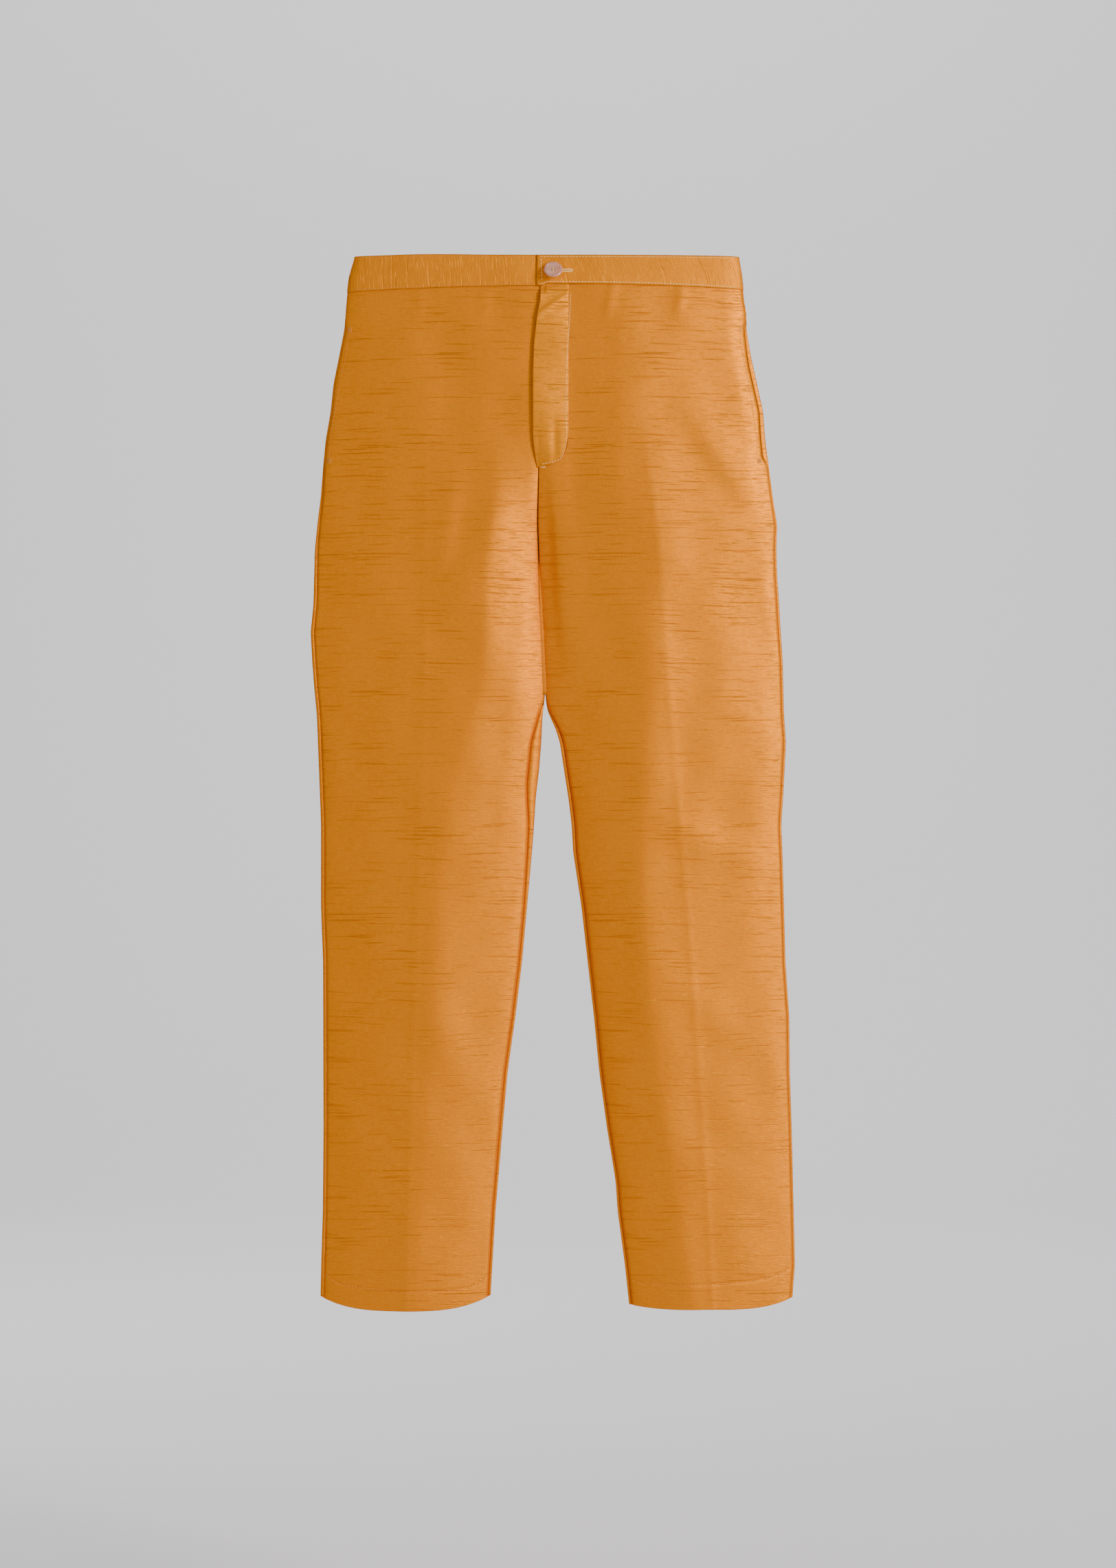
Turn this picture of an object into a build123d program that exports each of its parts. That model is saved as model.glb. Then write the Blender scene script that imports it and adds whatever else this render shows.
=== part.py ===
"""Flat-front trousers in a slubbed silk, built from their sewn pieces.

Frame: origin at the centre of the waist opening, level with the top edge; +Z up, +X to the
wearer's left, the front faces -Y. Lengths are in millimetres.
"""

import math
import os

from build123d import *

# Driving dimensions of the silhouette. Each station gives the height, the half width of the
# garment, the distance of the inner leg edge from the centre plane, the half depth, and how far
# the section is still one open trunk (1) rather than two closed legs (0).
RIGHT_STATIONS = [
    (0, 190, 0.2, 16, 1.0),
    (-33, 195, 0.2, 17, 1.0),
    (-99, 204, 0.2, 19, 1.0),
    (-153, 212, 0.2, 20, 1.0),
    (-210, 219, 0.2, 21, 0.75),
    (-262, 226, 0.4, 22, 0.25),
    (-300, 228, 0.6, 22, 0.0),
    (-370, 232, 0.8, 22, 0.0),
    (-439, 227, 1.0, 22, 0.0),
    (-480, 225, 4, 22, 0.0),
    (-560, 222, 11, 21, 0.0),
    (-674, 221, 21, 20, 0.0),
    (-750, 219, 30, 20, 0.0),
    (-858, 219, 43, 19, 0.0),
    (-940, 220, 50, 18, 0.0),
    (-1038, 222, 55, 18, 0.0),
]
LEFT_STATIONS = [
    (0, 191, 0.2, 16, 1.0),
    (-33, 195, 0.2, 17, 1.0),
    (-99, 203, 0.2, 19, 1.0),
    (-153, 214, 0.2, 20, 1.0),
    (-210, 221, 0.2, 21, 0.75),
    (-262, 227, 0.4, 22, 0.25),
    (-300, 229, 0.6, 22, 0.0),
    (-370, 232, 0.8, 22, 0.0),
    (-439, 235, 1.0, 22, 0.0),
    (-480, 237, 14, 22, 0.0),
    (-560, 233, 26, 21, 0.0),
    (-674, 236, 39, 20, 0.0),
    (-750, 241, 48, 20, 0.0),
    (-858, 243, 60, 19, 0.0),
    (-940, 245, 71, 18, 0.0),
    (-1038, 243, 83, 18, 0.0),
]
SIDES = (("right", -1, RIGHT_STATIONS), ("left", 1, LEFT_STATIONS))

TRUNK_POWER = 4.0  # fullness of the waist and hip section
LEG_POWER = 2.2  # fullness of the leg section
SEAM_GAP = 0.3  # between the front and back cloth at a seam

CLOTH = 1.0  # face cloth with its backing
LINING = 0.5
PLY_GAP = 0.1  # between plies of one body

BAND_BOTTOM = -33.0
THIGH = -300.0
KNEE = -674.0
KNEE_GAP = 0.6
HEM_BOTTOM = -1038.0
HEM_DEPTH = 19.0
CROTCH = -262.0

FLY_BOTTOM = -205.0
FLY_EDGE = -10.0  # free fold of the fly
FLY_SEAM = 22.7  # stitched line of the fly
FLY_PROUD = 1.8  # how far the fly's outer face stands before the front
FLAP = 0.8
FACING = 0.5

ZIP_X = 3.0
ZIP_DEPTH = 4.8  # mid plane of the chain behind the front's outer face
ZIP_TOP = -44.0
ZIP_BOTTOM = -196.0
TOOTH_PITCH = 2.8
TOOTH_HEIGHT = 1.0
TOOTH_REACH = 0.8
CHAIN_THICK = 1.8
CHAIN_HALF = 2.6
TAPE = 0.5
TAPE_WIDTH = 13.0
SLIDER_LENGTH = 11.0
SLIDER_WALL = 0.5
TAB_LENGTH = 17.0

BAND_PLY = 0.7
INTERLINING = 0.4
BAND_OVERLAP = -8.5
UNDERLAP_END = 30.0
UNDERLAP_DEPTH = 2.8

BUTTON_X = 7.5
BUTTON_Z = -15.5
BUTTON_R = 9.2
BUTTON_THICK = 2.4
BUTTON_TILT = 30.0
BUTTON_FALL = 18.0
BUTTON_STAND = 6.8
HOLE_START = 4.5
HOLE_END = 25.5
HOLE_HEIGHT = 2.6

POCKET_TOP = -66.0
POCKET_MOUTH_BOTTOM = -200.0
POCKET_BOTTOM = -292.0
POCKET_INNER = 112.0
POCKET_SLIT = 5.6

HIP_HEIGHTS = [-33.4, -99, -153, -210, -262, THIGH + KNEE_GAP / 2]
THIGH_HEIGHTS = [THIGH - KNEE_GAP / 2, -370, -439, -480, -560, KNEE + KNEE_GAP / 2]
LOWER_HEIGHTS = [KNEE - KNEE_GAP / 2, -750, -858, -940, HEM_BOTTOM]
ACROSS = [0, 0.003, 0.015, 0.04, 0.1, 0.2, 0.35, 0.5, 0.65, 0.8, 0.9, 0.96, 0.985, 0.997, 1]


def station(stations, z):
    """Interpolates the silhouette at one height."""
    for high, low in zip(stations, stations[1:]):
        if z >= low[0]:
            share = (high[0] - z) / (high[0] - low[0])
            return [a + (b - a) * share for a, b in zip(high[1:], low[1:])]
    return list(stations[-1][1:])


def rim(stations, u, z):
    """Outer face at a share u of the way from the centre or inseam to the side seam."""
    outer, inner, depth, trunk = station(stations, z)
    x = inner + (outer - inner) * u
    full = math.sqrt(max(0.0, 1 - abs(u) ** TRUNK_POWER))
    leg = math.sqrt(max(0.0, 1 - abs(2 * u - 1) ** LEG_POWER))
    if trunk > 0 and u < 0:
        leg = 0.0
    return x, depth * (trunk * full + (1 - trunk) * leg)


def layer_point(side, stations, face, u, z, inward):
    """Point on a layer the given distance inside the outer face. face is -1 front, 1 back."""
    step = 1e-4
    x0, y0 = rim(stations, max(u - step, -1.0), z)
    x1, y1 = rim(stations, min(u + step, 1.0), z)
    x, y = rim(stations, u, z)
    run = math.hypot(x1 - x0, y1 - y0)
    nx = (y1 - y0) / run
    ny = -(x1 - x0) / run
    return side * (x + nx * inward), face * (y + ny * inward + SEAM_GAP / 2)


def depth_at(x, z):
    """Half depth of the outer face at x, for pieces that cross the centre plane."""
    stations = LEFT_STATIONS if x >= 0 else RIGHT_STATIONS
    outer, inner = station(stations, z)[:2]
    u = max(0.0, (abs(x) - inner) / (outer - inner))
    return rim(stations, u, z)[1] + SEAM_GAP / 2


def strip(z, near, far):
    """Flat face at one height, closed between two runs of points."""
    with BuildSketch(Plane.XY.offset(z)) as section:
        with BuildLine():
            Spline(*near)
            Line(near[-1], far[-1])
            Spline(*far)
            Line(near[0], far[0])
        make_face()
    return section.sketch.face()


def layer(side, stations, face, shares, heights, start, end):
    """Sections of one layer of a panel between two distances inside the outer face."""
    sections = []
    for z in heights:
        near = [layer_point(side, stations, face, u, z, start) for u in shares]
        far = [layer_point(side, stations, face, u, z, end) for u in shares]
        sections.append(strip(z, near, far))
    return sections


def wrapped(side, stations, front, back, heights, start, end):
    """Sections of a layer that runs over the front, round the side and along the back."""
    sections = []
    for z in heights:
        runs = []
        for inward in (start, end):
            points = [layer_point(side, stations, -1, u, z, inward) for u in front]
            points += [layer_point(side, stations, 1, u, z, inward) for u in back]
            runs.append(points)
        sections.append(strip(z, *runs))
    return sections


def crossing(xs, heights, face, start, end):
    """Sections of a layer across the centre plane, from start to end inside the outer face."""
    sections = []
    for z in heights:
        near = [(x, face * (depth_at(x, z) - start)) for x in xs]
        far = [(x, face * (depth_at(x, z) - end)) for x in xs]
        sections.append(strip(z, near, far))
    return sections


def ring(side, stations, z, inward):
    """Closed section all round one leg, the given distance inside the outer face."""
    shares = ACROSS[1:-1]
    points = [layer_point(side, stations, -1, u, z, inward) for u in shares]
    points += [layer_point(side, stations, 1, u, z, inward) for u in shares[::-1]]
    with BuildSketch(Plane.XY.offset(z)) as section:
        with BuildLine():
            Spline(*points, periodic=True)
        make_face()
    return section.sketch.face()


def pouch(side, stations, z, start_x, end_share, inward, floor_y):
    """Section of a pocket bag between the front's inside and a flat back ply."""
    outer = station(stations, z)[0]
    shares = spread(start_x / outer, end_share, 6)
    near = [layer_point(side, stations, -1, u, z, inward) for u in shares]
    with BuildSketch(Plane.XY.offset(z)) as section:
        with BuildLine():
            Spline(*near)
            Line(near[-1], (near[-1][0], floor_y))
            Line((near[-1][0], floor_y), (near[0][0], floor_y))
            Line(near[0], (near[0][0], floor_y))
        make_face()
    return section.sketch.face()


def spread(low, high, count):
    return [low + (high - low) * i / (count - 1) for i in range(count)]


def heights_between(top, bottom):
    """Station heights strictly inside a span, with its two ends."""
    inside = [row[0] for row in RIGHT_STATIONS if bottom + 1 < row[0] < top - 1]
    return [top, *inside, bottom]


def save(built, label):
    built.part.label = label
    export_step(built.part, f"parts/{label}.step")


os.makedirs("parts", exist_ok=True)

# ---------------------------------------------------------------- trouser panels
for name, side, stations in SIDES:
    with BuildPart() as front_panel:
        loft(layer(side, stations, -1, ACROSS, HIP_HEIGHTS, 0, CLOTH), ruled=True)
        fly_cut = FLY_SEAM + 0.3 if side > 0 else 2.0
        with Locations((0, 0, FLY_BOTTOM)):
            Box(
                2 * fly_cut,
                80,
                -FLY_BOTTOM,
                align=(Align.CENTER, Align.CENTER, Align.MIN),
                mode=Mode.SUBTRACT,
            )
        with Locations((side * 170, -POCKET_SLIT, POCKET_MOUTH_BOTTOM)):
            Box(
                120,
                2 * POCKET_SLIT,
                POCKET_TOP - POCKET_MOUTH_BOTTOM,
                align=(Align.MIN if side > 0 else Align.MAX, Align.MIN, Align.MIN),
                mode=Mode.SUBTRACT,
            )
    save(front_panel, f"{name}_front_panel")

    with BuildPart() as back_panel:
        loft(layer(side, stations, 1, ACROSS, HIP_HEIGHTS, 0, CLOTH), ruled=True)
    save(back_panel, f"{name}_back_panel")

    for face, face_name in ((-1, "front"), (1, "back")):
        for part_name, heights in (("thigh", THIGH_HEIGHTS), ("lower", LOWER_HEIGHTS)):
            with BuildPart() as leg_panel:
                loft(layer(side, stations, face, ACROSS, heights, 0, CLOTH), ruled=True)
            save(leg_panel, f"{name}_{part_name}_{face_name}_panel")

# ---------------------------------------------------------------- waistband
AROUND_BACK = [0.997, 0.985, 0.96, 0.9, 0.8, 0.65, 0.5, 0.35, 0.2, 0.1, 0.04, 0.003]
for name, side, stations in SIDES:
    half_width = stations[0][1]
    start_x = BAND_OVERLAP if side > 0 else 9.2
    around_front = [start_x / half_width, *AROUND_BACK[9::-1]]
    plies = (
        ("waistband", 0, BAND_PLY),
        ("waistband_interlining", BAND_PLY + PLY_GAP, BAND_PLY + PLY_GAP + INTERLINING),
        (
            "waistband_facing",
            BAND_PLY + 2 * PLY_GAP + INTERLINING,
            2 * BAND_PLY + 2 * PLY_GAP + INTERLINING,
        ),
    )
    for ply_name, start, end in plies:
        with BuildPart() as band_ply:
            edges = (0, BAND_BOTTOM)
            loft(wrapped(side, stations, around_front, AROUND_BACK, edges, start, end), ruled=True)
            if side > 0:
                with Locations(((HOLE_START + HOLE_END) / 2, -20, BUTTON_Z)):
                    Box(HOLE_END - HOLE_START, 30, HOLE_HEIGHT, mode=Mode.SUBTRACT)
        save(band_ply, f"{name}_{ply_name}")

underlap_xs = spread(-14, UNDERLAP_END, 5)
with BuildPart() as waistband_underlap:
    underlap_back = UNDERLAP_DEPTH + 1.6
    loft(crossing(underlap_xs, (-0.6, BAND_BOTTOM), -1, UNDERLAP_DEPTH, underlap_back), ruled=True)
save(waistband_underlap, "waistband_underlap")

with BuildPart() as buttonhole_stitching:
    with BuildSketch(Plane.XZ.offset(depth_at(BUTTON_X, BUTTON_Z) + 0.15)):
        with Locations(((HOLE_START + HOLE_END) / 2, BUTTON_Z)):
            RectangleRounded(HOLE_END - HOLE_START + 3, HOLE_HEIGHT + 3, 1.5)
            Rectangle(HOLE_END - HOLE_START, HOLE_HEIGHT, mode=Mode.SUBTRACT)
    extrude(amount=0.3)
save(buttonhole_stitching, "buttonhole_stitching")

# ---------------------------------------------------------------- button
band_y = -depth_at(BUTTON_X, BUTTON_Z)
fall = math.radians(BUTTON_FALL)
tilt = math.radians(BUTTON_TILT)
button_plane = Plane(
    origin=(BUTTON_X, band_y - BUTTON_STAND, BUTTON_Z),
    x_dir=(math.cos(fall), 0, -math.sin(fall)),
    z_dir=(
        math.sin(tilt) * math.sin(fall),
        -math.cos(tilt),
        math.sin(tilt) * math.cos(fall),
    ),
)
HOLE_SPACING = 3.4
HOLE_R = 0.9
RIM_WIDTH = 1.6
with BuildPart() as waist_button:
    with BuildSketch(button_plane):
        Circle(BUTTON_R)
        with GridLocations(HOLE_SPACING, HOLE_SPACING, 2, 2):
            Circle(HOLE_R, mode=Mode.SUBTRACT)
    extrude(amount=BUTTON_THICK / 2, both=True)
    with BuildSketch(button_plane.offset(BUTTON_THICK / 2 - 0.6)):
        Circle(BUTTON_R - RIM_WIDTH)
    extrude(amount=1, mode=Mode.SUBTRACT)
save(waist_button, "waist_button")

with BuildPart() as button_thread:
    with BuildSketch(button_plane.offset(-BUTTON_THICK / 2 - 0.2)):
        with GridLocations(HOLE_SPACING, HOLE_SPACING, 2, 2):
            Circle(HOLE_R - 0.2)
    extrude(amount=BUTTON_THICK + 0.1)
    with BuildSketch(button_plane.offset(BUTTON_THICK / 2 - 0.5)):
        with GridLocations(HOLE_SPACING, HOLE_SPACING, 2, 2):
            Circle(HOLE_R - 0.2)
        for turn in (-45, 45):
            with Locations(Location((0, 0, 0), (0, 0, turn))):
                Rectangle(HOLE_SPACING * math.sqrt(2), 1.0)
    extrude(amount=0.6)
save(button_thread, "button_thread")

SHANK_R = 0.9
with BuildPart() as button_shank:
    with BuildSketch(Plane.XZ.offset(-band_y - UNDERLAP_DEPTH + 0.1)):
        with Locations((BUTTON_X, BUTTON_Z)):
            Circle(SHANK_R)
    extrude(amount=UNDERLAP_DEPTH + BUTTON_STAND - BUTTON_THICK / 2 - 1.3)
save(button_shank, "button_shank")

# ---------------------------------------------------------------- fly
flap_xs = spread(FLY_EDGE, FLY_SEAM, 6)
fly_heights = [BAND_BOTTOM - 0.5, -99, -153, FLY_BOTTOM + 0.4]
with BuildPart() as fly_flap:
    loft(crossing(flap_xs, fly_heights, -1, -FLY_PROUD, -FLY_PROUD + FLAP), ruled=True)
save(fly_flap, "fly_flap")

with BuildPart() as fly_facing:
    facing_start = -FLY_PROUD + FLAP + PLY_GAP
    facing_xs = spread(FLY_EDGE + 0.8, FLY_SEAM, 6)
    loft(crossing(facing_xs, fly_heights, -1, facing_start, facing_start + FACING), ruled=True)
save(fly_facing, "fly_facing")

shield_heights = (BAND_BOTTOM - 0.5, -99, -153, FLY_BOTTOM + 4)
with BuildPart() as fly_shield:
    shield_xs = spread(-16, 24, 6)
    shield_front = ZIP_DEPTH + 4.7
    loft(crossing(shield_xs, shield_heights, -1, shield_front, shield_front + CLOTH), ruled=True)
save(fly_shield, "fly_shield")

with BuildPart() as fly_seam_allowance:
    turned_back = ZIP_DEPTH - TAPE / 2 - PLY_GAP
    turned_xs = spread(-15, -3, 4)
    loft(crossing(turned_xs, shield_heights, -1, CLOTH + PLY_GAP, turned_back), ruled=True)
save(fly_seam_allowance, "fly_seam_allowance")

with BuildPart() as fly_bartack:
    tack_levels = (FLY_BOTTOM - 1.2, FLY_BOTTOM - 3.2)
    loft(crossing(spread(-4, 12, 7), tack_levels, -1, -0.9, -0.2), ruled=True)
save(fly_bartack, "fly_bartack")

with BuildPart() as fly_topstitch:
    stitch_xs = spread(FLY_SEAM + 0.9, FLY_SEAM + 1.9, 3)
    loft(crossing(stitch_xs, fly_heights, -1, -0.5, -0.05), ruled=True)
save(fly_topstitch, "fly_topstitch")

# ---------------------------------------------------------------- zip
zip_heights = [ZIP_TOP + 6, -99, -153, ZIP_BOTTOM - 3]
tooth_count = int((ZIP_TOP - ZIP_BOTTOM) / TOOTH_PITCH)
for name, side, stations in SIDES:
    edge = ZIP_X + side * (CHAIN_HALF + 1.1)
    with BuildPart() as zip_tape:
        xs = sorted(spread(edge, edge + side * TAPE_WIDTH, 4))
        tape_front = ZIP_DEPTH - TAPE / 2
        loft(crossing(xs, zip_heights, -1, tape_front, tape_front + TAPE), ruled=True)
    save(zip_tape, f"{name}_zip_tape")


def chain_y(z):
    """Mid plane of the chain at one height; the chain runs straight from stop to stop."""
    top = -depth_at(ZIP_X, ZIP_TOP) + ZIP_DEPTH
    low = -depth_at(ZIP_X, ZIP_BOTTOM) + ZIP_DEPTH
    return top + (low - top) * (ZIP_TOP - z) / (ZIP_TOP - ZIP_BOTTOM)


zip_lean = math.degrees(
    math.atan2(chain_y(ZIP_TOP) - chain_y(ZIP_BOTTOM), ZIP_TOP - ZIP_BOTTOM)
)
zip_frame = Plane(
    origin=(ZIP_X, chain_y(ZIP_TOP), ZIP_TOP), x_dir=(1, 0, 0), z_dir=(0, -1, 0)
).rotated((-zip_lean, 0, 0))
chain_length = (ZIP_TOP - ZIP_BOTTOM) / math.cos(math.radians(zip_lean))

for name, side, stations in SIDES:
    first = 1.0 if side < 0 else 1.0 + TOOTH_PITCH / 2
    with BuildPart() as zip_teeth:
        with BuildSketch(zip_frame):
            with Locations((side * (CHAIN_HALF + TOOTH_REACH) / 2, -chain_length / 2)):
                Rectangle(CHAIN_HALF - TOOTH_REACH, chain_length)
            with Locations(
                *[
                    (side * (CHAIN_HALF / 2 - TOOTH_REACH / 2), -first - i * TOOTH_PITCH)
                    for i in range(tooth_count)
                ]
            ):
                Rectangle(CHAIN_HALF + TOOTH_REACH, TOOTH_HEIGHT)
        extrude(amount=CHAIN_THICK / 2, both=True)
    save(zip_teeth, f"{name}_zip_teeth")

    with BuildPart() as top_stop:
        with BuildSketch(zip_frame):
            with Locations((side * CHAIN_HALF / 2, 1.6)):
                RectangleRounded(CHAIN_HALF - 0.4, 2.4, 0.4)
        extrude(amount=1.2, both=True)
    save(top_stop, f"{name}_zip_top_stop")

with BuildPart() as zip_bottom_stop:
    with BuildSketch(zip_frame):
        with Locations((0, -chain_length - 1.8)):
            RectangleRounded(2 * CHAIN_HALF, 2.8, 0.6)
    extrude(amount=1.2, both=True)
save(zip_bottom_stop, "zip_bottom_stop")

SLIDER_WIDTH = 2 * (CHAIN_HALF + 0.3 + SLIDER_WALL)
SLIDER_THICK = CHAIN_THICK + 0.7 + 2 * 0.9
with BuildPart() as zip_slider:
    with BuildSketch(zip_frame):
        with Locations((0, -SLIDER_LENGTH / 2)):
            RectangleRounded(SLIDER_WIDTH, SLIDER_LENGTH, 1.2)
    extrude(amount=SLIDER_THICK / 2, both=True)
    with BuildSketch(zip_frame):
        with Locations((0, -SLIDER_LENGTH / 2)):
            Rectangle(2 * (CHAIN_HALF + 0.3), SLIDER_LENGTH + 2)
    extrude(amount=(CHAIN_THICK + 0.7) / 2, both=True, mode=Mode.SUBTRACT)
    with BuildSketch(zip_frame.offset(SLIDER_THICK / 2)):
        with Locations((-1.6, -3.2), (1.6, -3.2)):
            Rectangle(0.8, 3)
    extrude(amount=1.5)
save(zip_slider, "zip_slider")

with BuildPart() as zip_pull_tab:
    with BuildSketch(zip_frame.offset(SLIDER_THICK / 2 + 0.35)):
        with Locations((0, -3.2 - TAB_LENGTH / 2 + 1.2)):
            RectangleRounded(5.2, TAB_LENGTH, 1.2)
        with Locations((-1.6, -3.2), (1.6, -3.2)):
            Rectangle(1.5, 3.8, mode=Mode.SUBTRACT)
        with Locations((0, -3.2 - TAB_LENGTH + 5)):
            Circle(1.2, mode=Mode.SUBTRACT)
    extrude(amount=0.8)
save(zip_pull_tab, "zip_pull_tab")

# ---------------------------------------------------------------- side pockets
for name, side, stations in SIDES:
    inner_ply = CLOTH + 0.4
    bag_heights = heights_between(POCKET_TOP - 1, POCKET_BOTTOM)
    room_heights = heights_between(POCKET_TOP + 2, POCKET_BOTTOM + 1)
    with BuildPart() as pocket_bag:
        bag = [pouch(side, stations, z, POCKET_INNER, 0.93, inner_ply, -0.5) for z in bag_heights]
        loft(bag, ruled=True)
        room_x = POCKET_INNER + 1
        room_front = inner_ply + LINING
        floor_y = -0.5 - LINING
        room = [pouch(side, stations, z, room_x, 0.945, room_front, floor_y) for z in room_heights]
        loft(room, ruled=True, mode=Mode.SUBTRACT)
    save(pocket_bag, f"{name}_pocket_bag")

    facing_sections = []
    for z in heights_between(POCKET_TOP - 1, POCKET_MOUTH_BOTTOM + 1):
        outer = station(stations, z)[0]
        middle = (0.933 * outer + outer - 0.6) / 2
        with BuildSketch(Plane.XY.offset(z)) as section:
            with Locations((side * middle, -0.6)):
                Rectangle(outer * 0.067 - 0.6, 0.6)
        facing_sections.append(section.sketch.face())
    with BuildPart() as pocket_facing:
        loft(facing_sections, ruled=True)
    save(pocket_facing, f"{name}_pocket_facing")

    with BuildPart() as pocket_bartacks:
        for z in (POCKET_TOP + 2.5, POCKET_MOUTH_BOTTOM - 2.5):
            levels = (z + 0.8, z - 0.8)
            tack_shares = spread(0.955, 0.985, 4)
            loft(layer(side, stations, -1, tack_shares, levels, -0.8, -0.2), ruled=True)
    save(pocket_bartacks, f"{name}_pocket_bartacks")

# ---------------------------------------------------------------- seams and hems
FOLDED_IN = CLOTH + 0.3
FOLDED_OUT = FOLDED_IN + 0.6
ROUND_SIDE = [0.95, 0.97, 0.985, 0.992, 0.997]
ROUND_INSEAM = [0.05, 0.03, 0.015, 0.008, 0.003]
for name, side, stations in SIDES:
    spans = (
        ("side_seam", ROUND_SIDE, POCKET_MOUTH_BOTTOM - 6, KNEE + KNEE_GAP / 2),
        ("lower_side_seam", ROUND_SIDE, KNEE - KNEE_GAP / 2, HEM_BOTTOM + HEM_DEPTH + 1),
        ("inseam", ROUND_INSEAM, -300, KNEE + KNEE_GAP / 2),
        ("lower_inseam", ROUND_INSEAM, KNEE - KNEE_GAP / 2, HEM_BOTTOM + HEM_DEPTH + 1),
    )
    for seam_name, shares, top, bottom in spans:
        with BuildPart() as seam:
            levels = heights_between(top, bottom)
            round_back = shares[::-1]
            loft(
                wrapped(side, stations, shares, round_back, levels, FOLDED_IN, FOLDED_OUT),
                ruled=True,
            )
        save(seam, f"{name}_{seam_name}")

    hem_top = HEM_BOTTOM + HEM_DEPTH
    with BuildPart() as hem:
        outside = [ring(side, stations, z, FOLDED_IN) for z in (hem_top, HEM_BOTTOM + 0.2)]
        loft(outside, ruled=True)
        inside = [ring(side, stations, z, FOLDED_OUT + 0.2) for z in (hem_top + 1, HEM_BOTTOM - 1)]
        loft(inside, ruled=True, mode=Mode.SUBTRACT)
    save(hem, f"{name}_hem")

for seam_name, face, top, bottom in (
    ("front_rise_seam", -1, FLY_BOTTOM - 5, CROTCH + 8),
    ("back_rise_seam", 1, BAND_BOTTOM - 0.5, CROTCH + 8),
):
    with BuildPart() as rise_seam:
        levels = heights_between(top, bottom)
        loft(crossing(spread(-7, 7, 5), levels, face, FOLDED_IN + 1.0, FOLDED_OUT + 1.0), ruled=True)
    save(rise_seam, seam_name)
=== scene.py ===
"""Looks of the flat-front trousers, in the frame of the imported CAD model.

Frame: +Z up, +X to the wearer's left, the front faces -Y. Lengths below are in millimetres
and become metres when a mesh is made.
"""

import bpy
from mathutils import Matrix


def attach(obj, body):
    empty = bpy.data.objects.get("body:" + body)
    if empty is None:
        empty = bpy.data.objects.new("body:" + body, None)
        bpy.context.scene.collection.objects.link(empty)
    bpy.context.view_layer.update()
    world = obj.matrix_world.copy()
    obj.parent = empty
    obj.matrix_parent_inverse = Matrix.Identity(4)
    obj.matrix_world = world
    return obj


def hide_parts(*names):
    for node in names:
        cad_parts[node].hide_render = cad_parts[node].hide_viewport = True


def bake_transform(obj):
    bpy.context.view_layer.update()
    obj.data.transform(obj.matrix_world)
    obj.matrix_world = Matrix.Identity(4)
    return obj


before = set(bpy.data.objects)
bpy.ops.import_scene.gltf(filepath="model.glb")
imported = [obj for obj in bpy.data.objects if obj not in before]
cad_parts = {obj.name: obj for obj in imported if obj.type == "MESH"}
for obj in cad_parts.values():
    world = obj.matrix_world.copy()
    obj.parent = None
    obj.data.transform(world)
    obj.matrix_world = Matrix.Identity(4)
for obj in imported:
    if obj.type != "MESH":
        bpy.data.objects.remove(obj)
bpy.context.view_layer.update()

import math

import bmesh
import bpy
import numpy as np
from mathutils import Vector

MM = 0.001
RNG = np.random.default_rng(7)

# ---------------- silhouette
# (height, distance from the centre plane) along each edge of the garment laid flat.
OUTER = {
    -1: [
        (0, 188), (-10, 191), (-20, 194), (-32, 195.4), (-45, 196.6), (-72, 198.7), (-99, 204),
        (-126, 209.5), (-153, 212.2), (-180, 217), (-208, 219.7), (-235, 221.7), (-262, 225.1),
        (-289, 227.8), (-343, 229.2), (-370, 231.9), (-397, 230.5), (-424, 228.5), (-452, 225.8),
        (-506, 223.7), (-560, 221.7), (-641, 221.7), (-696, 219.7), (-858, 219.2), (-940, 219.9),
        (-994, 221.5), (-1040, 222.5),
    ],
    1: [
        (0, 190.5), (-20, 194), (-32, 194.8), (-45, 196), (-54, 198), (-72, 198.2), (-99, 202.8),
        (-126, 208.8), (-153, 214.6), (-180, 216.6), (-208, 220.4), (-235, 223.9), (-265, 228.6),
        (-289, 227.7), (-316, 228.6), (-343, 230.5), (-370, 232), (-397, 233.9), (-452, 235.3),
        (-479, 237.2), (-506, 235.9), (-533, 234.4), (-560, 232.6), (-587, 233.7), (-641, 235.3),
        (-696, 236.7), (-750, 240.5), (-804, 241), (-858, 242.8), (-940, 244.8), (-994, 246),
        (-1020, 244), (-1040, 243),
    ],
}
INNER = {
    -1: [
        (0, 0), (-110, 1), (-170, 6), (-262, 8), (-310, 6.5), (-370, 3), (-430, 0.4), (-440, 1.4),
        (-452, 3), (-479, 4.2), (-506, 6.3), (-533, 9.6),
        (-560, 11.3), (-587, 13.4), (-641, 18.2), (-696, 23.2), (-750, 29.8), (-804, 37.4),
        (-858, 42.2), (-940, 49.2), (-994, 52.4), (-1040, 55),
    ],
    1: [
        (0, 0), (-110, -1), (-170, -6), (-262, -8), (-310, -6.5), (-370, -3), (-436, 0), (-446, 1.2),
        (-452, 3.5), (-465, 9.5), (-479, 14), (-506, 18), (-533, 22.2), (-560, 25.6), (-587, 27),
        (-641, 35.2), (-696, 41.4), (-750, 47.6), (-804, 52.8), (-858, 60.2), (-912, 69), (-940, 70.8),
        (-994, 78), (-1040, 83),
    ],
}
DEPTH = [
    (0, 16), (-33, 17), (-99, 19), (-153, 20), (-210, 21), (-262, 22), (-439, 22), (-560, 21),
    (-674, 20), (-750, 20), (-858, 19), (-940, 18), (-1040, 18),
]
TRUNK = [(0, 1), (-150, 1), (-210, 0.75), (-262, 0.25), (-300, 0.03), (-330, 0), (-1040, 0)]
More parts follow.
